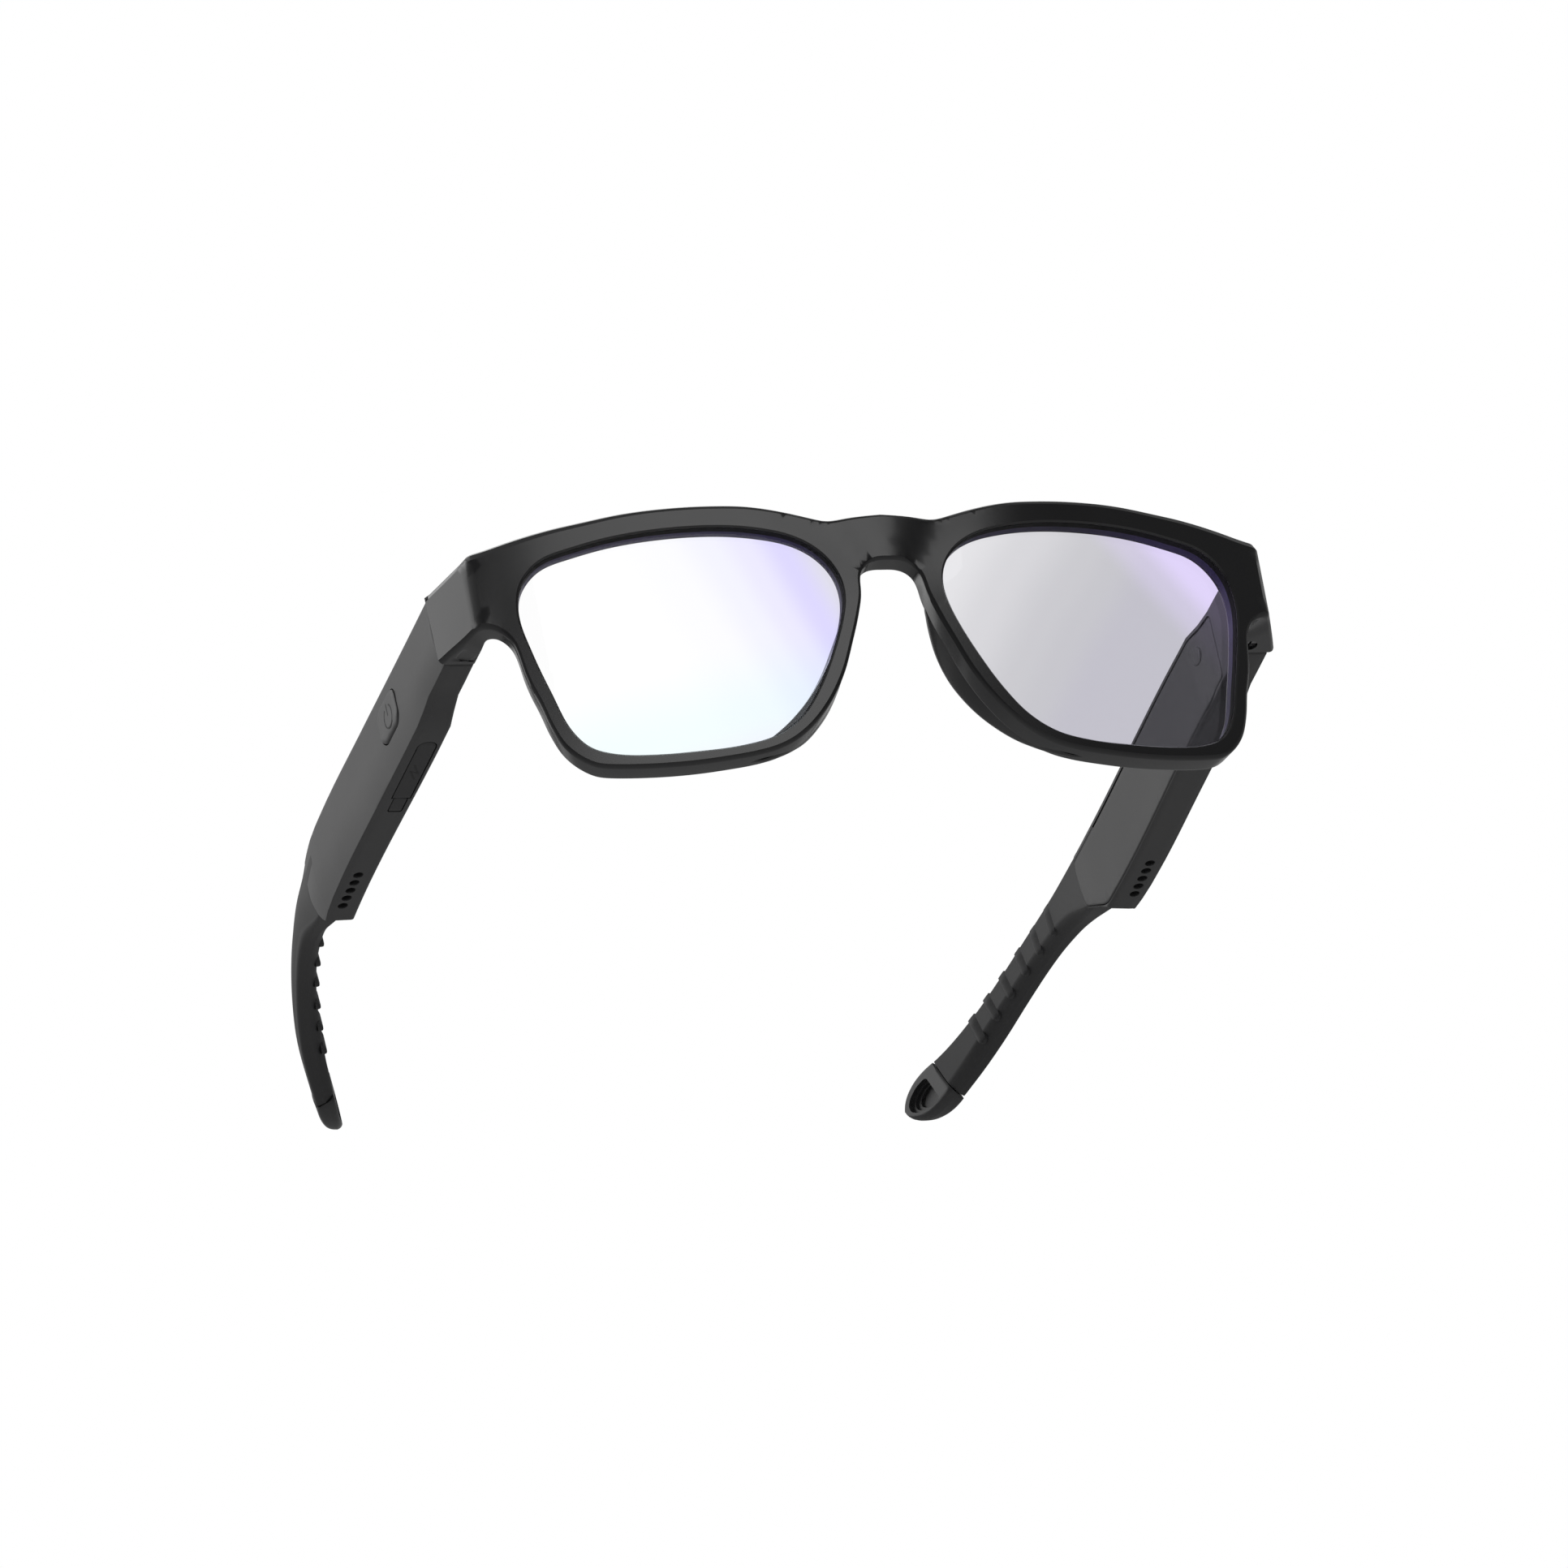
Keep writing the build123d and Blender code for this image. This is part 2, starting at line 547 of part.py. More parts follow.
BUTTON_BACK, FLANGE_TOP = 69.85, 70.45
with BuildPart() as power_button:
    add(button_shape(0, BUTTON_BACK, END_X + 2))
    with BuildSketch(Plane.XZ):
        with BuildLine():
            crown = ThreePointArc((71.8 + BUTTON_PROUD, MODULE_BOTTOM), (END_X - 0.35 + BUTTON_PROUD, -7.0),
                                  (72.1 + BUTTON_PROUD, TEMPLE_TOP))
            Polyline(crown @ 1, (60, TEMPLE_TOP), (60, MODULE_BOTTOM), crown @ 0)
        make_face()
    extrude(amount=FAR, both=True, mode=Mode.INTERSECT)
    add(button_shape(0.9, BUTTON_BACK, FLANGE_TOP))


def flap_outline(margin):
    """Plan of the port flap: square at its tether, round at the other end."""
    width = FLAP_W + 2 * margin
    with BuildSketch(Plane.XY) as plan:
        with Locations((FLAP_X, (FLAP_FRONT + FLAP_BACK) / 2)):
            Rectangle(width, FLAP_BACK - FLAP_FRONT + 2 * margin)
        fillet(plan.vertices().group_by(Axis.Y)[0], 1.4)
    return plan.sketch


with BuildPart() as port_flap:
    with BuildSketch(Plane.XY.offset(MODULE_BOTTOM)):
        add(flap_outline(0))
    extrude(amount=FLAP_T)
    with BuildSketch(Plane.XY.offset(MODULE_BOTTOM + FLAP_T)):
        with Locations((FLAP_X + 0.9, SOCKET_Y)):
            RectangleRounded(1.4, 6.0, 0.3)
    extrude(amount=0.9)

with BuildPart() as flap_tether:
    with BuildSketch(Plane.XY.offset(MODULE_BOTTOM)):
        with Locations((FLAP_X, (TETHER_FRONT + TETHER_BACK) / 2)):
            Rectangle(TETHER_W, TETHER_BACK - TETHER_FRONT)
    extrude(amount=FLAP_T)


def temple_shell(side):
    """The outer casing, open towards the head. Only the right one has button and port openings."""
    with BuildPart() as shell:
        add(casing.part)
        add(cavity.part, mode=Mode.SUBTRACT)
        add(cover_zone.part, mode=Mode.SUBTRACT)
        with BuildSketch(Plane.XY.offset(MODULE_BOTTOM - 1)):
            with Locations((HOLE_X, HOLE_MID_Y)):
                with GridLocations(0, HOLE_PITCH, 1, HOLE_COUNT):
                    Circle(HOLE_R)
        extrude(amount=3, mode=Mode.SUBTRACT)
        with BuildSketch(Plane.YZ.offset(66.7)):
            with Locations((CAP_Y, CAP_Z)):
                Circle(1.7)
                Circle(0.6, mode=Mode.SUBTRACT)
        extrude(amount=4.6)
        with BuildSketch(Plane.YZ.offset(HINGE_X + 0.5)):
            with Locations((LEAF_SCREW_Y, PAD_Z)):
                Rectangle(3.4, 8.4)
        extrude(amount=2.6)
        add(arm_room.part, mode=Mode.SUBTRACT)
        add(temple_leaf_screws.part, mode=Mode.SUBTRACT)
        add(tip_core, mode=Mode.SUBTRACT)
        if side == "right":
            add(button_shape(CLEAR, CAVITY_X - 0.5, END_X + 2), mode=Mode.SUBTRACT)
            with BuildSketch(Plane.XY.offset(MODULE_BOTTOM + WALL / 2)):
                with Locations(((COVER_X + CAVITY_X) / 2, (FLAP_FRONT + TETHER_BACK) / 2)):
                    Rectangle(CAVITY_X - COVER_X, TETHER_BACK - FLAP_FRONT + 3)
            extrude(amount=FLOOR_T - WALL / 2)
            with BuildSketch(Plane.XY.offset(MODULE_BOTTOM - 1)):
                add(flap_outline(0.25))
            extrude(amount=1 + FLAP_T + CLEAR, mode=Mode.SUBTRACT)
            with BuildSketch(Plane.XY.offset(MODULE_BOTTOM - 1)):
                with Locations((FLAP_X, (FLAP_BACK + TETHER_BACK) / 2)):
                    Rectangle(TETHER_W, TETHER_BACK - FLAP_BACK)
            extrude(amount=1 + FLAP_T, mode=Mode.SUBTRACT)
            with BuildSketch(Plane.XY.offset(MODULE_BOTTOM)):
                with Locations((FLAP_X + 0.9, SOCKET_Y)):
                    RectangleRounded(SOCKET_W, SOCKET_L, 0.6)
            extrude(amount=3, mode=Mode.SUBTRACT)
    return shell.part


with BuildPart() as inner_cover:
    add(casing.part)
    add(cover_zone.part, mode=Mode.INTERSECT)
    add(tip_core, mode=Mode.SUBTRACT)
    for hole_r, hole_x in ((CAP_R, 65.75), (1.3, SCREW_SEAT_X), (0.65, FAR)):
        with BuildSketch(Plane.YZ):
            with Locations((CAP_Y, CAP_Z)):
                Circle(hole_r)
        extrude(amount=hole_x, mode=Mode.SUBTRACT)

pair_nodes = {"hinge_front_leaf": hinge_front_leaf.part, "front_leaf_screw": front_leaf_screw.part,
              "hinge_screw": hinge_screw.part, "hinge_temple_leaf": hinge_temple_leaf.part,
              "temple_leaf_screws": temple_leaf_screws.part, "inner_cover": inner_cover.part,
              "case_screw": case_screw.part, "screw_cap": screw_cap.part, "speaker": speaker.part,
              "speaker_mesh": speaker_mesh.part, "tip_core": tip_core, "tip_sleeve": tip_sleeve.part,
              "tip_cap": tip_cap.part}
for side in ("left", "right"):
    for name, part in pair_nodes.items():
        pieces[side + "_" + name] = sided(part, side)
    pieces[side + "_temple_shell"] = sided(temple_shell(side), side)
pieces["left_battery"] = battery(44, 82)
pieces["right_battery"] = sided(battery(69.5, 83.5), "right")
right_only = {"circuit_board": circuit_board, "wireless_module": wireless_module,
              "button_switch": button_switch, "charging_socket": charging_socket,
              "microphone": microphone, "power_button": power_button, "port_flap": port_flap,
              "flap_tether": flap_tether}
for name, built in right_only.items():
    pieces[name] = sided(built.part, "right")

# ---- stand the glasses on a table ----
RIM_REST, TIP_REST = (8.5, -44.1), (160.5, -16.4)      # (y, z) of the two lowest points
rest_angle = math.degrees(math.atan2(TIP_REST[1] - RIM_REST[1], TIP_REST[0] - RIM_REST[0]))
turned = {name: Rot(X=-rest_angle) * part for name, part in pieces.items()}
box = Compound(list(turned.values())).bounding_box()
home = Pos(-box.center().X, -box.center().Y, -box.min.Z)
os.makedirs("parts", exist_ok=True)
for name, part in turned.items():
    placed = home * part
    placed.label = name
    export_step(placed, "parts/" + name + ".step")
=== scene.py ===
import json
import math
import bmesh
import bpy
import numpy as np
from mathutils import Matrix, Vector
from mathutils.geometry import delaunay_2d_cdt


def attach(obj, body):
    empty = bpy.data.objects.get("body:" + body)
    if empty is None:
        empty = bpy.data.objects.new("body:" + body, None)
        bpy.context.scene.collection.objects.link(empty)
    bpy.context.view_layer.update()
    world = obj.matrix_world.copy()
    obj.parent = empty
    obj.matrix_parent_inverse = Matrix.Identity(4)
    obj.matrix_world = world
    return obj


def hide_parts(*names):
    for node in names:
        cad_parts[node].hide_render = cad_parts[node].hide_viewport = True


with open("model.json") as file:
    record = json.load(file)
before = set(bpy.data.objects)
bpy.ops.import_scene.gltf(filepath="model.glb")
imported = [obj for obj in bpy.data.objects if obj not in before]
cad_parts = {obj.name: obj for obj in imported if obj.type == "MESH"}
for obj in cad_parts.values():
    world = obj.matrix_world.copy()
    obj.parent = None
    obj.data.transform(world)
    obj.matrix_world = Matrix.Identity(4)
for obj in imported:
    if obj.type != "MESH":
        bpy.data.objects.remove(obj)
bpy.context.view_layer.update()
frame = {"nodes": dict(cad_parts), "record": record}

# Lengths are millimetres in worn axes: +X to the wearer's left, +Y to the ears, +Z up, origin at the
# middle of the bridge top. place() turns them into the row frame, where the glasses stand on a table.
REST = math.radians(10.328)
HOME = (0.1123, -77.6746, 45.5209)
SIDES = (("left", 1), ("right", -1))


def turned(v):
    """A direction or point of the worn axes in the row frame's axes."""
    v = np.asarray(v, float)
    y = v[..., 1] * math.cos(REST) + v[..., 2] * math.sin(REST)
    z = v[..., 2] * math.cos(REST) - v[..., 1] * math.sin(REST)
    return np.stack([v[..., 0], y, z], -1)


def place(v, side=1):
    """Worn millimetres to the row frame's metres; side -1 mirrors them to the wearer's right."""
    v = np.asarray(v, float) * (side, 1, 1)
    return (turned(v) + HOME) / 1000


# ---------------- lines
def curve(points, step=0.4, closed=False):
    """A smooth line through the points, with even short steps."""
    p = np.array(points, float)
    if closed:
        p = np.vstack([p[-1], p, p[0], p[1]])
    else:
        p = np.vstack([2 * p[0] - p[1], p, 2 * p[-1] - p[-2]])
    d = np.linalg.norm(np.diff(p, axis=0), axis=1)
    out = []
    for i in range(1, len(p) - 2):
        a, b, c = d[i - 1], d[i], d[i + 1]
        m0 = ((p[i] - p[i - 1]) / a * b + (p[i + 1] - p[i]) / b * a) / (a + b) * b
        m1 = ((p[i + 1] - p[i]) / b * c + (p[i + 2] - p[i + 1]) / c * b) / (b + c) * b
        n = max(2, int(round(b / step)))
        t = (np.arange(n) / n)[:, None]
        out.append((2 * t**3 - 3 * t**2 + 1) * p[i] + (t**3 - 2 * t**2 + t) * m0
                   + (3 * t**2 - 2 * t**3) * p[i + 1] + (t**3 - t**2) * m1)
    if not closed:
        out.append(p[-2][None])
    return np.vstack(out)


def soften(p, rounds, closed=True):
    """Evens out a line's bends."""
    p = p.copy()
    for _ in range(rounds):
        mean = (np.roll(p, 1, 0) + np.roll(p, -1, 0)) / 2
        q = p + 0.5 * (mean - p)
        if not closed:
            q[0], q[-1] = p[0], p[-1]
        p = q
    return p


def track(pairs, softness=12):
    """A smooth function through (position, value) pairs."""
    dense = soften(curve(pairs, 0.4), softness, closed=False)
    return lambda y: np.interp(y, dense[:, 0], dense[:, 1])


def inward(p):
    """Unit normals of a closed line that runs anticlockwise, pointing to its inside, longer at corners."""
    a, b = p - np.roll(p, 1, 0), np.roll(p, -1, 0) - p
    a /= np.linalg.norm(a, axis=1)[:, None] + 1e-12
    b /= np.linalg.norm(b, axis=1)[:, None] + 1e-12
    n = np.stack([-(a + b)[:, 1], (a + b)[:, 0]], 1)
    n /= np.linalg.norm(n, axis=1)[:, None] + 1e-12
    across = np.clip((n * np.stack([-a[:, 1], a[:, 0]], 1)).sum(1), 0.6, 1)
    return n / across[:, None]


def anticlockwise(p):
    area = (p[:, 0] * np.roll(p[:, 1], -1) - np.roll(p[:, 0], -1) * p[:, 1]).sum()
    return p if area > 0 else p[::-1]


def inside(q, loop):
    """Which of the points q lie inside the closed line."""
    x, y = q[:, 0][:, None], q[:, 1][:, None]
    ax, ay = loop[:, 0], loop[:, 1]
    bx, by = np.roll(ax, -1), np.roll(ay, -1)
    crosses = ((ay > y) != (by > y)) & (x < (bx - ax) * (y - ay) / (by - ay + 1e-12) + ax)
    return crosses.sum(1) % 2 == 1


def filled(outer, holes=(), step=1.5):
    """Triangles between a closed line and its holes: (points, faces); the lines' points come first."""
    loops = [outer, *holes]
    points, edges = np.vstack(loops), []
    start = 0
    for loop in loops:
        n = len(loop)
        edges += [(start + i, start + (i + 1) % n) for i in range(n)]
        start += n
    low, high = outer.min(0), outer.max(0)
    start_x, start_y = low + 0.37 * step
    gx, gy = np.meshgrid(np.arange(start_x, high[0], step), np.arange(start_y, high[1], step))
    grid = np.stack([gx.ravel(), gy.ravel()], 1)
    ok = inside(grid, outer)
    for hole in holes:
        ok &= ~inside(grid, hole)
    grid = grid[ok]
    if len(grid):
        gap = np.sqrt(((grid[:, None] - points[None]) ** 2).sum(2)).min(1)
        grid = grid[gap > 0.45 * step]
    every = np.vstack([points, grid])
    verts, _, faces, origins, _, _ = delaunay_2d_cdt([Vector(v) for v in every], edges, [], 2, 1e-6)
    verts = np.array([tuple(v) for v in verts])
    where = [o[0] if o else int(((every - v) ** 2).sum(1).argmin()) for o, v in zip(origins, verts)]
    middle = verts[np.array(faces)].mean(1)
    keep = np.ones(len(faces), bool)
    for hole in holes:
        keep &= ~inside(middle, hole)
    kept = [tuple(where[i] for i in f) for f, ok in zip(faces, keep) if ok]
    return every, [f for f in kept if len(set(f)) == 3]


# ---------------- meshes
class Shape:
    """Collects points and faces."""

    def __init__(self):
        self.verts, self.faces = [], []

    def add(self, points):
        start = len(self.verts)
        self.verts += [tuple(v) for v in np.asarray(points, float)]
        return list(range(start, len(self.verts)))

    def band(self, a, b, closed=True):
        n = len(a)
        for i in range(n if closed else n - 1):
            j = (i + 1) % n
            self.faces.append((a[i], a[j], b[j], b[i]))

    def rings(self, rings, cap=(True, True)):
        """Joins rings of as many points each, and closes the ends."""
        ids = [self.add(r) for r in rings]
        for a, b in zip(ids, ids[1:]):
            self.band(a, b)
        if cap[0]:
            self.faces.append(tuple(reversed(ids[0])))
        if cap[1]:
            self.faces.append(tuple(ids[-1]))
        return ids


MERGE = 1e-7


def piece(name, shape, material, body, side=1, replaces=(), sharp=32, cutters=()):
    """A finished mesh piece that rides on a CAD body."""
    mesh = bpy.data.meshes.new(name)
    mesh.from_pydata(place(shape.verts, side).tolist(), [], shape.faces)
    bm = bmesh.new()
    bm.from_mesh(mesh)
    bmesh.ops.remove_doubles(bm, verts=bm.verts, dist=MERGE)
    bmesh.ops.dissolve_degenerate(bm, edges=bm.edges, dist=MERGE)
    bmesh.ops.recalc_face_normals(bm, faces=bm.faces)
    bm.to_mesh(mesh)
    bm.free()
    obj = bpy.data.objects.new(name, mesh)
    bpy.context.scene.collection.objects.link(obj)
    if cutters:
        for cutter in cutters:
            made = plain_object(cutter, side)
            cut = obj.modifiers.new("cut", "BOOLEAN")
            cut.operation, cut.solver, cut.object = "DIFFERENCE", "EXACT", made
        bpy.context.view_layer.update()
        result = bpy.data.meshes.new_from_object(obj.evaluated_get(bpy.context.evaluated_depsgraph_get()))
        tools = [m.object for m in obj.modifiers]
        obj.modifiers.clear()
        obj.data = result
        for tool in tools:
            bpy.data.objects.remove(tool)
        mesh = result
    mesh.materials.clear()
    mesh.materials.append(material)
    mesh.polygons.foreach_set("material_index", [0] * len(mesh.polygons))
    mesh.shade_smooth()
    mesh.set_sharp_from_angle(angle=math.radians(sharp))
    even = obj.modifiers.new("normals", "WEIGHTED_NORMAL")
    even.keep_sharp = True
    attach(obj, body)
    if replaces:
        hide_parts(*replaces)
    return obj


def plain_object(shape, side=1):
    mesh = bpy.data.meshes.new("cutter")
    mesh.from_pydata(place(shape.verts, side).tolist(), [], shape.faces)
    bm = bmesh.new()
    bm.from_mesh(mesh)
    bmesh.ops.recalc_face_normals(bm, faces=bm.faces)
    bm.to_mesh(mesh)
    bm.free()
    obj = bpy.data.objects.new("cutter", mesh)
    bpy.context.scene.collection.objects.link(obj)
    return obj


def prism(outline, low, high, origin, x_dir, y_dir, z_dir):
    """A closed bar with that outline, between two heights along z_dir."""
    o, dx, dy, dz = (np.array(v, float) for v in (origin, x_dir, y_dir, z_dir))
    shape = Shape()
    flat = np.array(outline, float)
    shape.rings([o + flat[:, :1] * dx + flat[:, 1:] * dy + h * dz for h in (low, high)])
    return shape


def plate(outline, profile, to_space, step=1.5):
    """Loops of an outline at (inset, height) steps, filled at both ends;
    to_space(points, height) lifts them."""
    outline = anticlockwise(np.array(outline, float))
    n = inward(outline)
    shape = Shape()
    loops = [outline + n * inset for inset, _ in profile]
    ids = shape.rings([to_space(loop, height) for loop, (_, height) in zip(loops, profile)], (False, False))
    for k in (0, -1):
        flat, faces = filled(loops[k], (), step)
        all_ids = ids[k] + shape.add(to_space(flat[len(outline):], profile[k][1]))
        shape.faces += [tuple(all_ids[i] for i in f) for f in faces]
    return shape


def rounded_box(width, height, radius, steps=8):
    """A rounded rectangle about the origin."""
    out = []
    for cx, cy, start in ((1, 1, 0), (-1, 1, 90), (-1, -1, 180), (1, -1, 270)):
        for i in range(steps + 1):
            a = math.radians(start + 90 * i / steps)
            out.append((cx * (width / 2 - radius) + radius * math.cos(a),
                        cy * (height / 2 - radius) + radius * math.sin(a)))
    return np.array(out)


def circle(radius, n=40, centre=(0, 0)):
    a = np.arange(n) / n * 2 * math.pi
    return np.stack([centre[0] + radius * np.cos(a), centre[1] + radius * np.sin(a)], 1)


# ---------------- materials
def node(tree, kind, inputs=(), **settings):
    """A shader node; inputs maps its sockets to values, or to the sockets that feed them."""
    made = tree.nodes.new("ShaderNode" + kind)
    for name, value in settings.items():
        setattr(made, name, value)
    for socket, value in dict(inputs).items():
        if isinstance(value, bpy.types.NodeSocket):
            tree.links.new(value, made.inputs[socket])
        else:
            made.inputs[socket].default_value = value
    return made


def ramp(tree, factor, stops, blend="LINEAR"):
    """Colours over a factor, from (position, colour) stops."""
    made = node(tree, "ValToRGB", {"Fac": factor})
    made.color_ramp.interpolation = blend
    elements = made.color_ramp.elements
    while len(elements) < len(stops):
        elements.new(0.5)
    for element, (at, color) in zip(elements, stops):
        element.position, element.color = at, (*color, 1)
    return made.outputs["Color"]


def new_material(name, **values):
    """A material, its node tree and its shader with those values; _ stands for a space in a socket's name."""
    m = bpy.data.materials.new(name)
    m.use_nodes = True
    shader = m.node_tree.nodes["Principled BSDF"]
    for socket, value in values.items():
        shader.inputs[socket.replace("_", " ")].default_value = value
    return m, m.node_tree, shader


def moulded(name, color, rough, grain=2600.0, depth=0.00001, mottle=0.08, rough_spread=0.06, stretch=None,
            **values):
    """Moulded plastic or rubber: fine grain in the surface, slow changes in colour and gloss."""
    m, tree, shader = new_material(name, Specular_IOR_Level=0.5, **values)
    at = node(tree, "TexCoord").outputs["Object"]
    grain_at = node(tree, "Mapping", {"Vector": at, "Scale": stretch}).outputs["Vector"] if stretch else at
    fine = node(tree, "TexNoise", {"Vector": grain_at, "Scale": grain, "Detail": 3}).outputs["Fac"]
    bump = node(tree, "Bump", {"Height": fine, "Distance": depth, "Strength": 0.6})
    slow = node(tree, "TexNoise", {"Vector": at, "Scale": 60, "Detail": 5}).outputs["Fac"]
    tone = ramp(tree, slow, [(0.3, [c * (1 - mottle) for c in color]),
                             (0.7, [c * (1 + mottle) for c in color])])
    gloss = node(tree, "MapRange",
                 {"Value": slow, "To Min": rough - rough_spread, "To Max": rough + rough_spread})
    tree.links.new(bump.outputs["Normal"], shader.inputs["Normal"])
    tree.links.new(tone, shader.inputs["Base Color"])
    tree.links.new(gloss.outputs["Result"], shader.inputs["Roughness"])
    return m


def metal(name, color, rough):
    """Turned or brushed metal with fine lines."""
    return moulded(name, color, rough, grain=900.0, depth=0.000004, mottle=0.12, rough_spread=0.08,
                   stretch=(1, 1, 30), Metallic=1)


front_black = moulded("front_satin_black", (0.012, 0.012, 0.013), 0.24, grain=1500, depth=0.000003,
                      Coat_Weight=0.25, Coat_Roughness=0.12)
temple_black = moulded("temple_matte_black", (0.024, 0.024, 0.025), 0.42, grain=3200, depth=0.000012)
rubber_black = moulded("rubber_black", (0.021, 0.021, 0.022), 0.58, grain=2400, depth=0.00002, mottle=0.12)
button_black = moulded("button_black", (0.026, 0.026, 0.027), 0.36, grain=3000, depth=0.000008)
cap_black = moulded("cap_black", (0.024, 0.024, 0.025), 0.36, grain=3000, depth=0.000006)
mark_ink = moulded("mark_ink", (0.004, 0.004, 0.004), 0.6, grain=3000, depth=0.000004)
steel = metal("hinge_steel", (0.16, 0.16, 0.165), 0.32)

# ---------------- the bent front
WRAP_R, RIM_T, LEAN, JOINT_Y = 212.0, 4.0, 0.0822, 23.7
END_TURN = math.radians(71.6)
BRIDGE_LOBE = 0.6


def plan_line(radius, last_x, corner_r, turn_to, end_y):
    """Plan of one face of the front: wide arc, round corner, straight side. Returns points and corner end."""
    a = math.asin(last_x / radius)
    t = np.linspace(0, a, 200)
    arc = np.stack([radius * np.sin(t), WRAP_R - radius * np.cos(t)], 1)
    centre = arc[-1] + corner_r * np.array([-math.sin(a), math.cos(a)])
    t = np.linspace(a, turn_to, 14)[1:]
    corner = centre + corner_r * np.stack([np.sin(t), -np.cos(t)], 1)
    reach = (end_y - corner[-1][1]) / math.sin(turn_to)
    end = corner[-1] + reach * np.array([math.cos(turn_to), math.sin(turn_to)])
    line = np.vstack([arc, corner, np.linspace(corner[-1], end, 12)[1:]])
    length = np.concatenate([[0], np.cumsum(np.linalg.norm(np.diff(line, axis=0), axis=1))])
    return line, length, length[len(arc) + len(corner) - 1]


outer_line, outer_len, outer_corner = plan_line(WRAP_R, 68.0, 1.9, END_TURN, JOINT_Y)
inner_line, inner_len, inner_corner = plan_line(WRAP_R - RIM_T, 64.9, 2.4, math.pi / 2, JOINT_Y)
U_END = outer_len[-1]
U_PARALLEL = WRAP_R * math.asin(62 / WRAP_R)


def u_of(x):
    return WRAP_R * np.arcsin(np.asarray(x, float) / WRAP_R)


def walls(u):
    """Plan points of the front and back face at u >= 0, and the distance between them."""
    s = np.interp(u, [0, U_PARALLEL, outer_corner, U_END],
                  [0, U_PARALLEL * (WRAP_R - RIM_T) / WRAP_R, inner_corner, inner_len[-1]])
    face = np.stack([np.interp(u, outer_len, outer_line[:, i]) for i in (0, 1)], 1)
    back = np.stack([np.interp(s, inner_len, inner_line[:, i]) for i in (0, 1)], 1)
    return face, back, np.linalg.norm(back - face, axis=1)


def thickness(uz):
    return walls(np.abs(uz[:, 0]))[2]


def on_front(uz, depth):
    """Points of the front: u along the face from the middle, z up, depth back from the face."""
    u, z = np.abs(uz[:, 0]), uz[:, 1]
    face, back, gap = walls(u)
    xy = face + (back - face) * (np.asarray(depth) / gap)[:, None]
    far = np.clip((u - 66) / (U_END - 66), 0, 1)
    lean = LEAN * (1 - far * far * (3 - 2 * far))
    lobe = 4.6 + 0.58 * np.clip(z + 8.4, 0, 9)
    away = np.clip((u - lobe) / 16, 0, 1)
    sunk = BRIDGE_LOBE * np.where(u < lobe, (u / lobe) ** 2, 1 - away * away * (3 - 2 * away))
    sunk *= np.clip((z + 16) / 7, 0, 1) * np.clip(1 - np.asarray(depth) / RIM_T, 0, 1)
    return np.stack([xy[:, 0], xy[:, 1] - lean * z + sunk, z], 1)


TOP_EDGE = ((0, 0.12), (5, -0.2), (9.5, -0.55), (13, 0.45), (16.6, 1.5), (22.6, 2.8), (28.6, 3.45),
            (37.6, 3.85), (43.6, 3.8), (50.6, 3.3), (55, 3.0), (59.5, 2.5), (63.8, 1.85), (67.3, 1.25))
LOW_EDGE = ((0, -8.4), (2.2, -8.45), (3.6, -8.9), (4.75, -9.9), (5.35, -11.6), (5.6, -14), (6.9, -18.5),
            (8.7, -23.2), (11.3, -29.3), (15.1, -35.2), (18.5, -38.8), (21.8, -41.1), (24.7, -42.3),
            (28, -43.0), (33.2, -43.5), (38.6, -43.7), (44, -43.5), (49.2, -42.95), (52, -42.5),
            (54.7, -41.8), (57.1, -40.1), (59.2, -37.6), (61, -33), (62, -28.6), (62.95, -25.4),
            (63.6, -22.2), (64.0, -19), (64.5, -16.8), (65.6, -15.0), (67.3, -13.7))
LENS_EDGE = ((8.8, -12.8), (9.6, -9.5), (12.7, -5.5), (16.6, -3.3), (21, -2.1), (37, -0.55), (52, -1.8),
             (58.4, -3.45), (61.6, -6.9), (62.65, -12.2), (61.7, -18.7), (59.7, -27.3), (57.4, -35.1),
             (55.3, -38.1), (51.4, -39.95), (45, -41.05), (38, -41.35), (30.6, -41.1), (24, -39.6),
             (19.9, -36.8), (16.4, -32.3), (12.7, -25.5), (10.1, -19.4), (9.1, -16.1))
END_TOP, END_LOW = 0.75, -13.35

top_edge = np.array([(u_of(x), z) for x, z in TOP_EDGE] + [(U_END - 6, 0.95), (U_END, END_TOP)])
low_edge = np.array([(u_of(x), z) for x, z in LOW_EDGE] + [(U_END - 13.5, -13.4), (U_END - 7, END_LOW),
                                                           (U_END, END_LOW)])
top_run = soften(curve(top_edge, 0.45), 10, closed=False)
low_run = soften(curve(low_edge, 0.4), 8, closed=False)
joint_run = np.stack([np.full(12, U_END), np.linspace(END_LOW, END_TOP, 14)[1:-1]], 1)
middle_run = np.stack([np.zeros(8), np.linspace(0.12, -8.4, 10)[1:-1]], 1)
outline = np.vstack([low_run, joint_run, top_run[::-1], middle_run])
n_low, n_joint, n_top = len(low_run), len(joint_run), len(top_run)
top_chamfer = np.interp(top_run[:, 0], [0, 12, 25, 40, 55, 66, U_END], [0.75, 0.8, 1.0, 1.1, 1.5, 1.9, 1.9])
low_chamfer = np.interp(low_run[:, 0], [0, 7, 60, 65, 70, U_END], [0.5, 0.6, 0.6, 0.7, 0.85, 0.85])
chamfer = np.concatenate([low_chamfer, np.zeros(n_joint), top_chamfer[::-1], np.zeros(len(middle_run))])
normal = inward(outline)
normal[0] = normal[n_low - 1] = (0, 1)
normal[n_low + n_joint] = normal[n_low + n_joint + n_top - 1] = (0, -1)
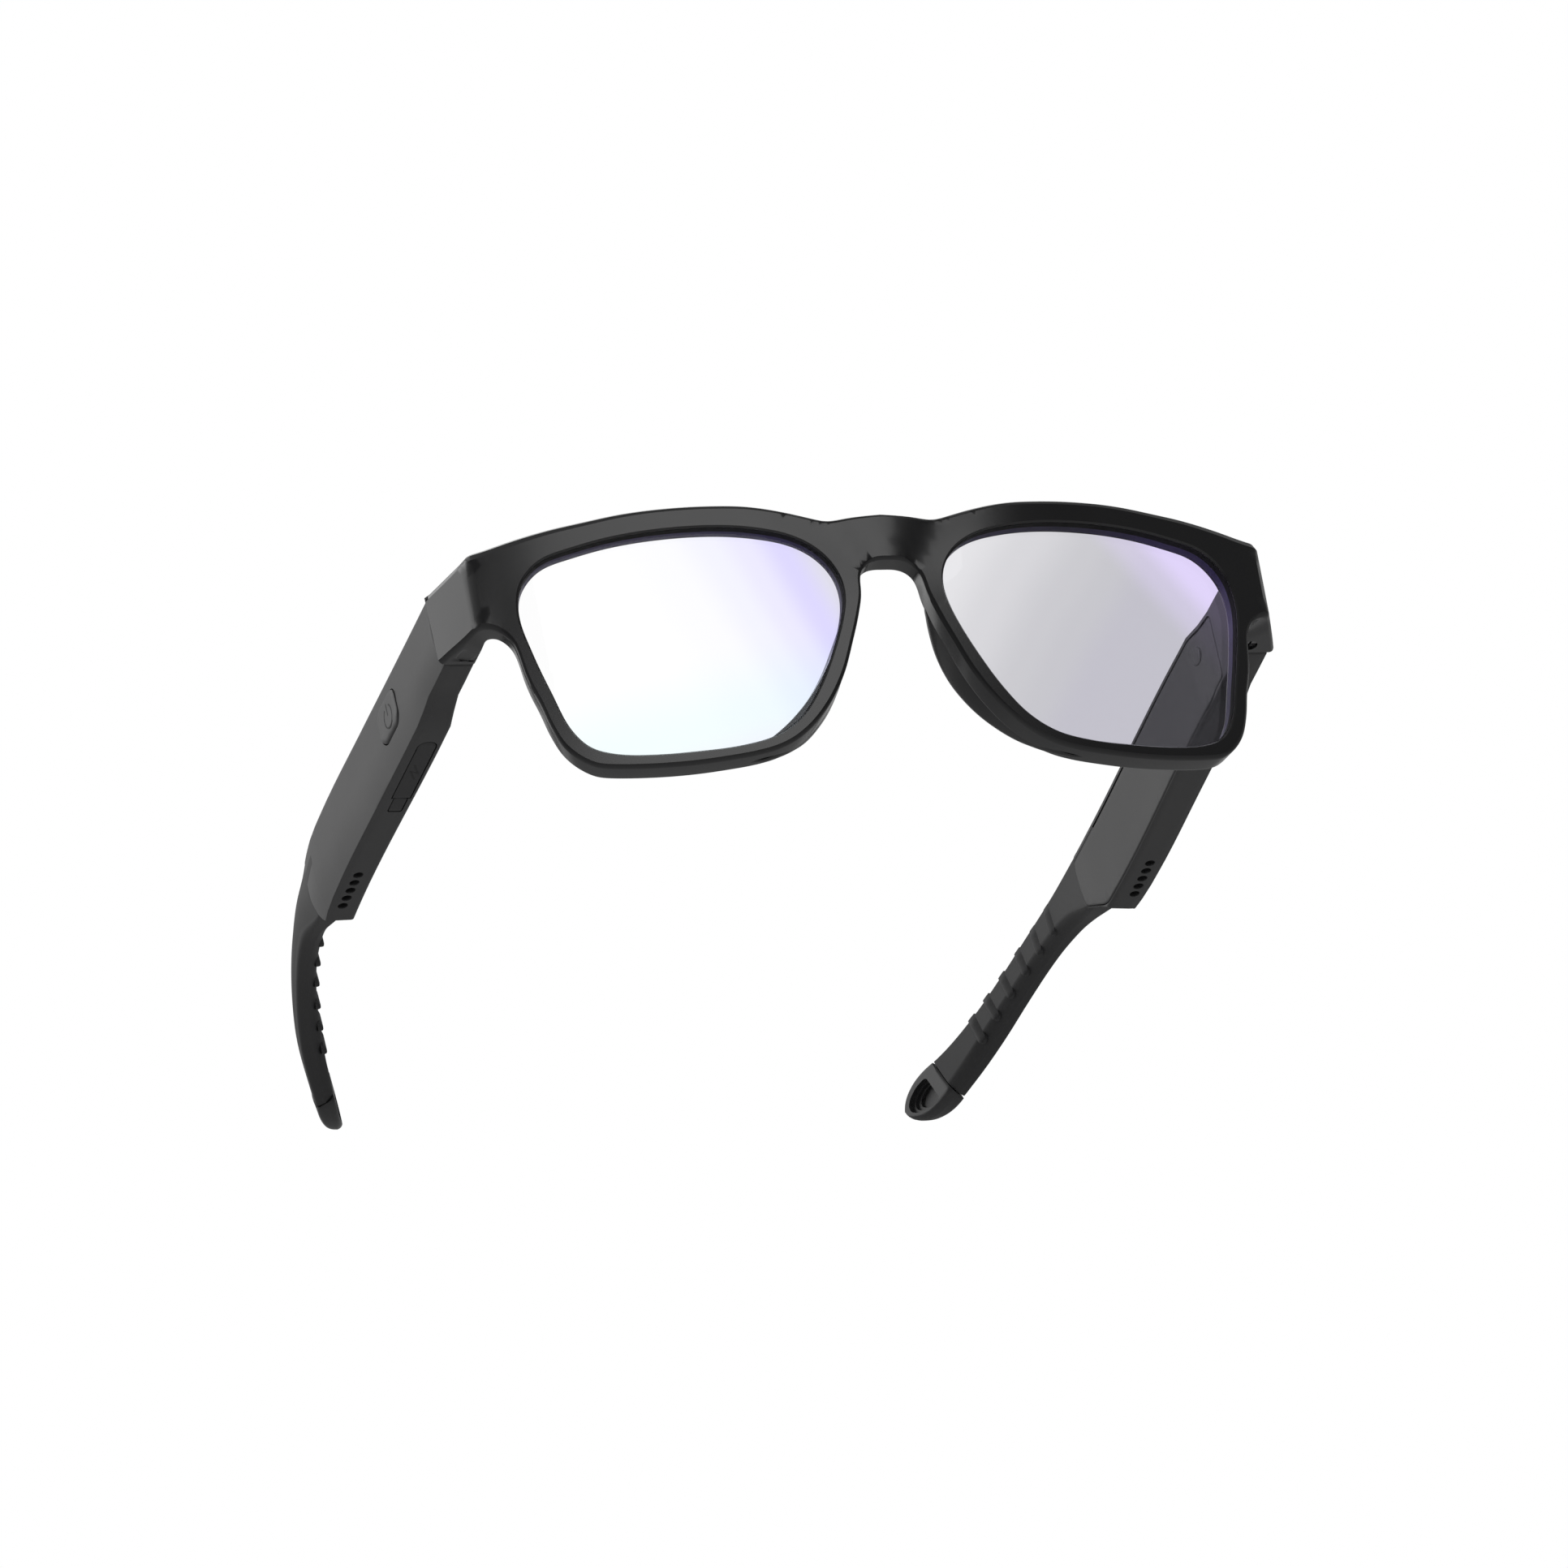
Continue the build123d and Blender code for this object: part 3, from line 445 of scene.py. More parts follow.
lens_loop = soften(curve([(float(u_of(x)), z) for x, z in LENS_EDGE], 0.4, closed=True), 25)
lens_loop = anticlockwise(lens_loop)
lens_out = -inward(lens_loop)

front = Shape()
rim_t = thickness(outline)
steps = [(1.0, 0.0), (0.42, 0.30), (0.13, 0.66), (0.0, 1.15)]
rings = [front.add(on_front(outline + normal * (chamfer * a)[:, None], chamfer * b)) for a, b in steps]
for inset, rise in ((0.0, 0.55), (0.13, 0.2), (0.45, 0.0)):
    on = (chamfer > 0)[:, None]
    rings.append(front.add(on_front(outline + normal * inset * on, rim_t - rise)))
for a, b in zip(rings, rings[1:]):
    front.band(a, b)
bore_t = thickness(lens_loop)
bore = [front.add(on_front(lens_loop + lens_out * out, depth))
        for out, depth in ((0.34, 0.0), (0.08, 0.24), (0.0, 0.5), (0.0, 2.0))]
bore += [front.add(on_front(lens_loop + lens_out * out, bore_t - rise))
         for out, rise in ((0.0, 0.4), (0.35, 0.0))]
for a, b in zip(bore, bore[1:]):
    front.band(b, a)
for ring, hole, back in ((rings[0], bore[0], False), (rings[-1], bore[-1], True)):
    if back:
        edge, opening = outline + normal * 0.45 * (chamfer > 0)[:, None], lens_loop + lens_out * 0.35
    else:
        edge, opening = outline + normal * chamfer[:, None], lens_loop + lens_out * 0.34
    flat, faces = filled(edge, [opening])
    extra = flat[len(edge) + len(opening):]
    depth = thickness(extra) if back else np.zeros(len(extra))
    ids = ring + hole + front.add(on_front(extra, depth))
    front.faces += [tuple(ids[i] for i in (f[::-1] if back else f)) for f in faces]

points = np.array(front.verts)
kept = [f for f in front.faces if not all(abs(points[i][0]) < 1e-6 for i in f)]
count = len(points)
front.verts = [tuple(v) for v in np.vstack([points, points * (-1, 1, 1)])]
front.faces = kept + [tuple(i + count for i in f[::-1]) for f in kept]

HINGE_O, HINGE_LEAN = (68.0, 20.7, -6.2), math.radians(7)
RELIEF_R, SCREW_HOLE_R = 3.1, 1.32
HINGE_Z = (0, -math.sin(HINGE_LEAN), math.cos(HINGE_LEAN))
HINGE_Y = (0, HINGE_Z[2], -HINGE_Z[1])
bite = [(-RELIEF_R * math.sin(a), RELIEF_R * math.cos(a)) for a in np.linspace(math.pi / 2, 0, 16)]
hinge_cuts = [prism([(-4, -2.6), (1.7, -2.6), (1.7, 7), (-4, 7)], -3.9, 3.7, HINGE_O, (1, 0, 0), HINGE_Y,
                    HINGE_Z),
              prism(bite + [(0, 6), (-6, 6), (-6, 0)], -14, 14, HINGE_O, (1, 0, 0), HINGE_Y, HINGE_Z),
              prism(circle(SCREW_HOLE_R), -12, -5.7, HINGE_O, (1, 0, 0), HINGE_Y, HINGE_Z)]


def mirrored(shape):
    other = Shape()
    other.verts = [(-x, y, z) for x, y, z in shape.verts]
    other.faces = [tuple(reversed(f)) for f in shape.faces]
    return other


piece("front_rims", front, front_black, "front", replaces=("front_frame",), sharp=24,
      cutters=hinge_cuts + [mirrored(c) for c in hinge_cuts])

# nose pads
PAD_NOSE = curve(((5.75, -14.2), (6.9, -17.8), (8.6, -22.4), (11.3, -28.4), (15.2, -34.6), (20.3, -39.9),
                  (26.5, -42.9), (31.0, -43.3)), 0.35)
PAD_LENS = curve(((7.6, -14.2), (8.8, -17.6), (10.6, -21.6), (13.6, -27.2), (17.8, -33.0), (22.6, -37.6),
                  (27.6, -40.8), (31.5, -42.2)), 0.35)
stations = 110
share = np.linspace(0, 1, stations)
pad_a = np.stack([np.interp(share, np.linspace(0, 1, len(PAD_NOSE)), PAD_NOSE[:, i]) for i in (0, 1)], 1)
pad_b = np.stack([np.interp(share, np.linspace(0, 1, len(PAD_LENS)), PAD_LENS[:, i]) for i in (0, 1)], 1)
pad_back = track(((-44.5, 6.2), (-43.2, 7.0), (-41, 8.6), (-36, 10.4), (-30, 11.2), (-26, 11.0),
                  (-22, 9.9), (-18.5, 7.9), (-15.5, 5.6), (-14, 4.2)), 6)
for side, sign in SIDES:
    pad = Shape()
    loops = []
    for k in range(stations):
        a, b = pad_a[k], pad_b[k]
        mid = (a + b) / 2
        taper = min(1.0, math.sqrt(max(0.0, 1 - (1 - min(share[k] / 0.05, 1)) ** 2)),
                    math.sqrt(max(0.0, 1 - (1 - min((1 - share[k]) / 0.12, 1)) ** 2)))
        half = (b - a) / 2 * (0.25 + 0.75 * taper)
        y_face = WRAP_R - math.sqrt(WRAP_R**2 - mid[0] ** 2) - LEAN * mid[1]
        y_front = y_face + 2.2
        y_back = max(y_front + 0.8, y_front + (float(pad_back(mid[1])) - y_front) * (0.2 + 0.8 * taper))
        radius = min(1.3, (y_back - y_front) * 0.45)
        ring = []
        for t in np.linspace(0, 1, 7)[:-1]:
            ring.append((-1.0, y_front + (y_back - radius - y_front) * t))
        for t in np.linspace(0, math.pi, 15):
            flat = -math.cos(t)
            ring.append((math.copysign(abs(flat) ** 0.8, flat), y_back - radius + radius * math.sin(t)))
        for t in np.linspace(1, 0, 7)[1:]:
            ring.append((1.0, y_front + (y_back - radius - y_front) * t))
        loop = []
        for w, y in ring:
            bulge = 1 + 0.16 * math.sin(math.pi * min(1, (y - y_front) / (y_back - y_front + 1e-9)))
            q = mid + half * w * bulge
            loop.append((q[0] - 0.09 * (1 - w) * (y - y_front), y, q[1]))
        loops.append(np.array(loop))
    pad.rings(loops)
    piece(side + "_nose_pad", pad, front_black, "front", sign, sharp=50)

# ---------------- lenses
LENS_MID, LENS_GROWTH = (36.0, -21.0), 1.028
LENS_FACE, LENS_REAR = 1.4, 3.2


def lens_material():
    """Clear lens with painted light: painted grey shade on the left one; painted blue-violet reflections of
    the coating towards the edges, towards the nose on the right one and the outer top edge on the left one,
    and a faint painted blue reflection low on the right one.
    """
    m, tree, shader = new_material("coated_lens_painted_reflection_and_shade", Transmission_Weight=1, Roughness=0.0, IOR=1.3)
    at = node(tree, "TexCoord").outputs["Object"]
    apart = node(tree, "SeparateXYZ", {"Vector": at})
    slow = node(tree, "TexNoise", {"Vector": at, "Scale": 30, "Detail": 1}).outputs["Fac"]

    def ramp_along(weights, low, high, stops):
        """Colours along a direction in the lens, in metres, slightly uneven."""
        along = node(tree, "VectorMath", {0: at, 1: weights}, operation="DOT_PRODUCT").outputs["Value"]
        span = node(tree, "MapRange", {"Value": along, "From Min": low, "From Max": high}).outputs["Result"]
        uneven = node(tree, "Math", {0: slow, 1: 0.12, 2: -0.06}, operation="MULTIPLY_ADD").outputs["Value"]
        total = node(tree, "Math", {0: span, 1: uneven}).outputs["Value"]
        return ramp(tree, total, stops, "EASE")

    def mixed(factor, a, b, **settings):
        return node(tree, "Mix", {"Factor": factor, "A": a, "B": b}, data_type="RGBA",
                    **settings).outputs["Result"]

    white, violet = (1.0, 1.0, 1.0), (0.77, 0.68, 0.98, 1)
    # painted reflection: the coating's blue-violet, stronger towards the nose on the right lens
    nose_side_painted_reflection = ramp_along((1, 0, 0.35), -0.035, 0.008, (
        (0.0, white), (0.3, (0.97, 0.97, 1.0)), (0.47, (0.9, 0.9, 0.99)), (0.6, (0.84, 0.82, 1.0)),
        (0.74, (0.72, 0.68, 0.99)), (0.88, (0.74, 0.73, 0.82))))
    # painted reflection: a faint blue low on the right lens, white higher up
    low_painted_blue_reflection = ramp_along((-0.2, 0, 1), 0.008, 0.03,
                          ((0.0, (0.9, 0.93, 1.0)), (0.3, (0.9, 0.99, 1.0)), (1.0, white)))
    # painted shade: the left lens made grey, darker outwards and downwards
    left_painted_shade = ramp_along((1, 0, -0.68), -0.0127, 0.0232, (
        (0.0, (0.8, 0.795, 0.82)), (0.3, (0.7, 0.695, 0.725)), (0.61, (0.61, 0.605, 0.64)),
        (0.77, (0.585, 0.58, 0.62)), (1.0, (0.555, 0.545, 0.61))))
    # painted reflection: the coating's violet towards the left lens's outer top edge
    painted_violet_reflection_share = ramp_along((1, 0, 0.82), 0.071, 0.088,
                              ((0.0, (0, 0, 0)), (0.45, (0.4, 0.4, 0.4)), (0.87, white)))
    # the right lens: painted reflections only
    right_painted_reflection = mixed(1, nose_side_painted_reflection, low_painted_blue_reflection, blend_type="MULTIPLY")
    # the left lens: painted grey shade, with the painted violet reflection near its outer top edge
    left_painted_shade_and_reflection = mixed(painted_violet_reflection_share, left_painted_shade, violet)
    on_left = node(tree, "Math", {0: apart.outputs["X"], 1: 0}, operation="GREATER_THAN").outputs["Value"]
    tree.links.new(mixed(on_left, right_painted_reflection, left_painted_shade_and_reflection), shader.inputs["Base Color"])
    return m


lens_glass = lens_material()
# painted shade: a near-black matte material for a ring over the bore wall in front of the lens, where shade
# falls
bore_painted_shade = moulded("bore_painted_shade", (0.003, 0.003, 0.003), 0.7, grain=2600, depth=0.000004)
lens_edge_violet = moulded("lens_edge_violet", (0.06, 0.05, 0.13), 0.5, grain=1200, depth=0.000004,
                           mottle=0.2)
lens_flat = np.stack([WRAP_R * np.sin(lens_loop[:, 0] / WRAP_R), lens_loop[:, 1]], 1)
lens_flat = LENS_MID + (lens_flat - LENS_MID) * LENS_GROWTH
lens_rim = np.stack([u_of(lens_flat[:, 0]), lens_flat[:, 1]], 1)
for side, sign in SIDES:
    lens = Shape()
    flat, faces = filled(lens_rim, (), 1.6)
    a = lens.add(on_front(flat, LENS_FACE))
    b = lens.add(on_front(flat, LENS_REAR))
    lens.faces += [tuple(a[i] for i in f) for f in faces] + [tuple(b[i] for i in f[::-1]) for f in faces]
    lens.band(a[:len(lens_rim)], b[:len(lens_rim)])
    piece(side + "_lens_body", lens, lens_glass, "front", sign, (side + "_lens",))
    # the first ring is painted shade over the bore wall; the second is the lens's violet edge
    for name, fore, rear, paint in (("bore_shade_ring", 0.4, 1.42, bore_painted_shade),
                                    ("lens_edge", 1.42, 3.3, lens_edge_violet)):
        ring = Shape()
        ids = [ring.add(on_front(lens_loop + lens_out * out, depth))
               for out, depth in ((-0.04, fore), (-0.04, rear), (0.2, rear), (0.2, fore))]
        for a, b in zip(ids, ids[1:] + ids[:1]):
            ring.band(a, b)
        piece(side + "_" + name, ring, paint, "front", sign)

# ---------------- temple casings
OUTER = track(((20, 72.95), (34, 72.85), (50, 72.8), (65, 72.8), (90, 72.65), (97, 72.3), (103, 71.45),
               (108.8, 70.3), (118, 68.95), (130, 66.45), (138, 64.4), (146, 61.85), (156, 57.3),
               (166, 52.5)))
INNER_TOP = track(((20, 66.6), (30, 66.5), (36, 66.3), (39, 65.8), (41, 65.2), (45, 65.1), (100, 65.1),
                   (108, 64.95), (118, 64.2), (130, 62.25), (146, 57.35), (156, 53.3), (166, 48.8)), 4)
INNER_LOW = track(((20, 66.6), (30, 66.5), (36, 66.4), (39, 66.1), (41, 65.8), (45, 65.75), (100, 65.75),
                   (108, 65.3), (118, 64.25), (130, 62.25), (146, 57.35), (156, 53.3), (166, 48.8)), 4)
CASE_UNDER, WIDEST_Z = -14.35, -7.28
LOW_FALL, TOP_FALL, TOP_RISE = 1.03, 0.35, 5.9
CASE_LOW = track(((20, -13.35), (30, -13.35), (35.3, -13.4), (39.5, -14.3), (43, CASE_UNDER),
                  (60, CASE_UNDER), (112, CASE_UNDER)), 3)
CASE_TOP = track(((20, 0.85), (60, 0.95), (112, 0.85)))
JOINT_OUT = ((-14.4, 101.0), (-13.2, 102.2), (-11.8, 103.1), (-8.5, 104.3), (-3, 104.7), (1, 104.7))
JOINT_IN = ((-14.4, 100.6), (-13.7, 101.0), (-9.6, 107.9), (-8.6, 108.4), (-5.4, 109.05), (-1.7, 109.35),
            (1, 108.7))
FRONT_Y = 23.85


def edge(a, b, n):
    """n points from a to before b."""
    return [tuple(np.array(a) + (np.array(b) - a) * i / n) for i in range(n)]


def turn(a, corner, b, n):
    """A rounded corner as n points from a to before b."""
    a, corner, b = np.array(a), np.array(corner), np.array(b)
    return [tuple(a * (1 - t) ** 2 + 2 * corner * t * (1 - t) + b * t * t) for t in np.arange(n) / n]


def casing_section(y):
    """(x, z) points of the casing's outline, as many at every y, anticlockwise from inside."""
    low, top = float(CASE_LOW(y)), float(CASE_TOP(y))
    x_in, x_up, x_out = float(INNER_LOW(y)), float(INNER_TOP(y)), float(OUTER(y))
    bevel = 0.75
    crease = (x_out - 1.05, low + 0.22)
    p = edge((x_in + bevel, low), (crease[0] - 1.25, low), 8)
    p += edge((crease[0] - 1.25, low), (crease[0] - 0.1, crease[1] - 0.02), 4)
    p += turn((crease[0] - 0.1, crease[1] - 0.02), crease, (crease[0] + 0.02, crease[1] + 0.1), 3)
    foot = crease[1] + 0.1
    p += [(x_out - LOW_FALL * (1 - math.sin(t * math.pi / 2)), foot + t * (WIDEST_Z - foot))
          for t in np.arange(12) / 12]
    p += [(x_out - TOP_FALL * t * t, WIDEST_Z + t * TOP_RISE) for t in np.arange(8) / 8]
    p += turn((x_out - TOP_FALL, WIDEST_Z + TOP_RISE), (x_out - 0.5, top), (x_out - 2.9, top), 10)
    p += edge((x_out - 2.9, top), (x_up + 0.45, top), 6)
    p += turn((x_up + 0.45, top), (x_up, top), (x_up, top - 0.45), 4)
    p += edge((x_up, top - 0.45), (x_in, low + bevel), 18)
    p += turn((x_in, low + bevel), (x_in + 0.1, low + 0.1), (x_in + bevel, low), 4)
    return np.array(p)


def joint_y(xz):
    """Where the casing ends at its rear."""
    y_in = np.interp(xz[:, 1], *np.transpose(JOINT_IN))
    y_out = np.interp(xz[:, 1], *np.transpose(JOINT_OUT))
    share = np.clip((xz[:, 0] - 65.3) / 5.3, 0, 1)
    return y_in + (y_out - y_in) * share


def casing_shape():
    shape = Shape()
    stations = np.concatenate([[0, 0.25, 0.6], np.arange(2, 34, 4), np.arange(34.5, 43.5, 0.75),
                               np.arange(46, 76, 4.0)])
    rings = []
    for i, d in enumerate(stations):
        ring = casing_section(FRONT_Y + d)
        shrink = (0.35, 0.1, 0.0)[i] if i < 3 else 0.0
        ring += inward(ring) * shrink
        rings.append(np.column_stack([ring[:, 0], np.full(len(ring), FRONT_Y + d), ring[:, 1]]))
    start = FRONT_Y + stations[-1]
    for t in np.linspace(0, 1, 19)[1:]:
        y = start + t * (105 - start)
        ends = joint_y(casing_section(y))
        depth = start + t * (ends - start)
        ring = np.array([casing_section(v)[k] for k, v in enumerate(depth)])
        if t == 1:
            ring += inward(ring) * 0.12
        elif t > 0.99:
            depth -= 0.15
        rings.append(np.column_stack([ring[:, 0], depth, ring[:, 1]]))
    ids = shape.rings(rings, (True, False))
    last = rings[-1][:, [0, 2]]
    flat, faces = filled(last, (), 1.2)
    inner = flat[len(last):]
    y_cap = joint_y(inner)
    all_ids = ids[-1] + shape.add(np.column_stack([inner[:, 0], y_cap, inner[:, 1]]))
    shape.faces += [tuple(all_ids[i] for i in f) for f in faces]
    return shape


def inner_x(yz):
    """The inner face's x at (y, z) points."""
    share = np.clip((yz[:, 1] + 13.7) / 14.3, 0, 1)
    return INNER_LOW(yz[:, 0]) * (1 - share) + INNER_TOP(yz[:, 0]) * share


COVER_EDGE = ((32.95, -12.3), (35.6, -12.4), (37.2, -12.75), (39.2, -13.35), (41, -13.6), (70, -13.65),
              (99.6, -13.6), (101.3, -13.1), (107.6, -9.45), (108.25, -8.6), (108.9, -5.4), (109.1, -1.7),
              (108.6, -0.1), (70, 0.0), (40, -0.05), (33.8, -0.15), (33.0, -0.9), (32.9, -6))


def corner_line(points, radius, steps=6):
    """A closed line through the points with its corners rounded."""
    p = np.array(points, float)
    out = []
    for i in range(len(p)):
        a, b, c = p[i - 1], p[i], p[(i + 1) % len(p)]
        la, lc = np.linalg.norm(a - b), np.linalg.norm(c - b)
        r = min(radius, la * 0.45, lc * 0.45)
        out += turn(b + (a - b) / la * r, b, b + (c - b) / lc * r, steps)
    return np.array(out)


def spaced(line, step):
    """The closed line with no gap longer than step."""
    out = []
    for a, b in zip(line, np.roll(line, -1, 0)):
        n = max(1, int(np.ceil(np.linalg.norm(b - a) / step)))
        out += [a + (b - a) * i / n for i in range(n)]
    return np.array(out)


cover_line = anticlockwise(spaced(corner_line(COVER_EDGE, 0.8), 1.0))
cover_out = -inward(cover_line)


def on_inner(yz, depth):
    return np.column_stack([inner_x(yz) + depth, yz])


COVER_GAP, BUTTON_GAP, FLAP_GAP, TAB_GAP = 0.16, 0.16, 0.14, 0.12
cover_room = Shape()
cover_room.rings([on_inner(cover_line + cover_out * COVER_GAP, depth) for depth in (-2.0, 0.8)])
cover_bevel = [(0.45, -0.02), (0.18, 0.05), (0.04, 0.2), (0.0, 0.4), (0.0, 0.78)]


def hole_shape(x, y, radius):
    """A round hole in the underside with a softened rim."""
    shape = Shape()
    steps = ((radius + 0.5, -15.2), (radius + 0.12, -14.4), (radius + 0.03, -14.25), (radius, -14.0),
             (radius, -12.4))
    shape.rings([np.column_stack([circle(r, 28, (x, y)), np.full(28, z)]) for r, z in steps])
    return shape


HOLE_X, HOLE_Y, HOLE_PITCH, HOLE_R = 69.15, 91.5, 2.35, 0.78
speaker_holes = [hole_shape(HOLE_X, HOLE_Y + HOLE_PITCH * k, HOLE_R) for k in range(-2, 3)]

# the power button and the flap over the charging contacts, on the right temple
BUTTON_AT, BUTTON_SIZE = (50.5, -6.5), (9.7, 6.7)
FACET_START, FACET_W, FACET_FALL = 2.05, 1.25, 0.34
button_line = rounded_box(*BUTTON_SIZE, 2.3, 10) + BUTTON_AT


def outer_x(yz):
    """The casing's outer face at (y, z) points."""
    foot = CASE_LOW(yz[:, 0]) + 0.32
    t = np.clip((yz[:, 1] - foot) / (WIDEST_Z - foot), 0, 1)
    up = np.clip((yz[:, 1] - WIDEST_Z) / TOP_RISE, 0, 1)
    return OUTER(yz[:, 0]) - LOW_FALL * (1 - np.sin(t * math.pi / 2)) - TOP_FALL * up**2


def flat_outer(yz, proud):
    """Points on a level plane that meets the casing at the button's middle."""
    return np.column_stack([np.full(len(yz), float(outer_x(np.array([BUTTON_AT]))[0])) + proud, yz])


FLAP_X, FLAP_HALF, FLAP_FRONT, TAB_Y = 68.45, 1.6, 46.0, 63.2
flap_nose = [(FLAP_X - FLAP_HALF * math.cos(a), FLAP_FRONT + FLAP_HALF * (1 - math.sin(a)))
             for a in np.linspace(0, math.pi, 21)]
flap_line = np.array([(FLAP_X - FLAP_HALF, TAB_Y), *flap_nose, (FLAP_X + FLAP_HALF, TAB_Y)])
TAB_HALF, TAB_END = 1.2, 67.3
tab_line = corner_line([(FLAP_X + x * TAB_HALF, y)
                        for x, y in ((-1, TAB_Y), (1, TAB_Y), (1, TAB_END), (-1, TAB_END))], 0.5)


def under(xy, height):
    """Points on the flat underside, height downwards positive."""
    return np.column_stack([xy, np.full(len(xy), CASE_UNDER - height)])


def grown_line(line, by):
    line = anticlockwise(np.array(line, float))
    return line - inward(line) * by


def pocket(line, by, low, high, lift):
    """A cutter with the line's outline grown by that much, between two heights of lift()."""
    shape = Shape()
    grown = grown_line(spaced(line, 1.2), by)
    shape.rings([lift(grown, low), lift(grown, high)])
    return shape


button_room = pocket(button_line, BUTTON_GAP, -1.3, 3.0, flat_outer)
flap_room = pocket(flap_line, FLAP_GAP, -1.35, 2.0, under)
tab_room = pocket(tab_line, TAB_GAP, -1.2, 2.0, under)

DISC_AT = (40.0, -4.0)
disc_steps = [(0.35, -0.1), (0.1, -0.07), (0.0, 0.02), (0.0, 0.4)]

for side, sign in SIDES:
    cuts = [cover_room, *speaker_holes]
    if side == "right":
        cuts += [button_room, flap_room, tab_room]
    piece(side + "_casing", casing_shape(), temple_black, side + "_temple", sign,
          (side + "_temple_shell",), sharp=30, cutters=cuts)
    cover = plate(cover_line, cover_bevel, on_inner, 1.6)
    piece(side + "_cover", cover, temple_black, side + "_temple", sign,
          (side + "_inner_cover",), sharp=40)
    disc = plate(circle(1.62, 48, DISC_AT), disc_steps, on_inner, 1.0)
    piece(side + "_screw_disc", disc, temple_black, side + "_temple", sign,
          (side + "_screw_cap",), sharp=40)

# button face: level, so it stands proud where the casing curves away below
button_steps = [(0.8, 0.26), (0.28, 0.22), (0.08, 0.12), (0.0, -0.08), (0.0, -0.75)]


def button_space(yz, proud):
    """The button's surface: a facet along its lower edge falls back to the casing."""
    drop = np.clip((BUTTON_AT[1] - FACET_START - yz[:, 1]) / FACET_W, 0, 1)
    x = np.full(len(yz), float(outer_x(np.array([BUTTON_AT]))[0]))
    return np.column_stack([x + proud - FACET_FALL * drop * (proud > -0.5), yz])


button = plate(spaced(button_line, 0.5), button_steps, button_space, 0.6)
piece("power_button_cap", button, button_black, "power_button_body", -1, ("power_button",),
      sharp=35)


def stroke(points, width, closed=False):
    """A flat band of that width along a line: its two edges."""
    p = np.array(points, float)
    ahead, behind = (np.roll(p, -1, 0), np.roll(p, 1, 0)) if closed else (np.vstack([p[1:], p[-1]]),
                                                                          np.vstack([p[0], p[:-1]]))
    t = ahead - behind
    t /= np.linalg.norm(t, axis=1)[:, None]
    n = np.stack([-t[:, 1], t[:, 0]], 1) * width / 2
    return p + n, p - n


def inlay(name, lines, width, lift, height, body, side, material):
    """Thin printed strokes lying on a surface."""
    shape = Shape()
    for line in lines:
        left, right = stroke(line, width)
        rows = [shape.add(lift(e, h)) for e, h in ((left, -0.1), (left, height), (right, height),
                                                   (right, -0.1))]
        for a, b in zip(rows, rows[1:] + rows[:1]):
            shape.band(a, b, closed=False)
        for k in (0, -1):
            ends = tuple(row[k] for row in rows)
            shape.faces.append(ends if k else ends[::-1])
    return piece(name, shape, material, body, side)


MARK_AT = np.array([49.9, -6.75])
ring_line = MARK_AT + 1.95 * np.array([(math.sin(a), math.cos(a))
                                       for a in np.linspace(0.55, 2 * math.pi - 0.55, 40)])
bar_line = MARK_AT + np.array([(0, 0.15), (0, 1.2), (0, 2.35)])
inlay("power_mark", (ring_line, bar_line), 0.3, lambda p, h: button_space(p, 0.255 + h), 0.02,
      "power_button_body", -1, mark_ink)

flap = plate(spaced(flap_line, 0.6), [(0.2, 0.02), (0.06, -0.03), (0.0, -0.18), (0.0, -0.95)], under, 0.8)
piece("port_flap_plate", flap, rubber_black, "port_flap_body", -1, ("port_flap",), sharp=35)
bolt = [(FLAP_X + 0.85 * x, 55.2 + 0.85 * y)
        for x, y in ((0.7, -2.6), (-0.9, 0.5), (0.9, -0.35), (-0.7, 2.6))]
inlay("charge_mark", (bolt,), 0.36, lambda p, h: under(p, 0.02 + h), 0.02, "port_flap_body",
      -1, mark_ink)
tab = plate(spaced(tab_line, 0.5), [(0.25, 0.0), (0.08, -0.05), (0.0, -0.2), (0.0, -0.95)], under, 0.8)
piece("flap_tab", tab, rubber_black, "right_temple", -1, ("flap_tether",), sharp=35)

# ---------------- rubber ear tips
TIP_TOP = track(((98, 0.8), (108, 0.78), (114, 0.5), (118, 0.15), (124, -0.45), (130, -1.3), (138, -3.3),
                 (146, -5.6), (156, -7.75), (160, -8.05), (166, -8.6)), 6)
TIP_LOW = track(((98, -11.4), (103, -11.0), (106, -10.35), (110, -9.3), (114, -8.15), (118, -7.3),
                 (122, -7.0), (126, -7.05), (130, -7.5), (138, -9.2), (146, -11.8), (154, -14.9),
                 (158, -16.2), (161, -16.6), (166, -16.5)), 6)


def easy(t):
    t = np.clip(t, 0, 1)
    return t * t * (3 - 2 * t)


def end_y(x, z):
    """The plane between sleeve and cap."""
    return 157.1 + 0.345 * (z + 8) + 0.5 * (x - 53)


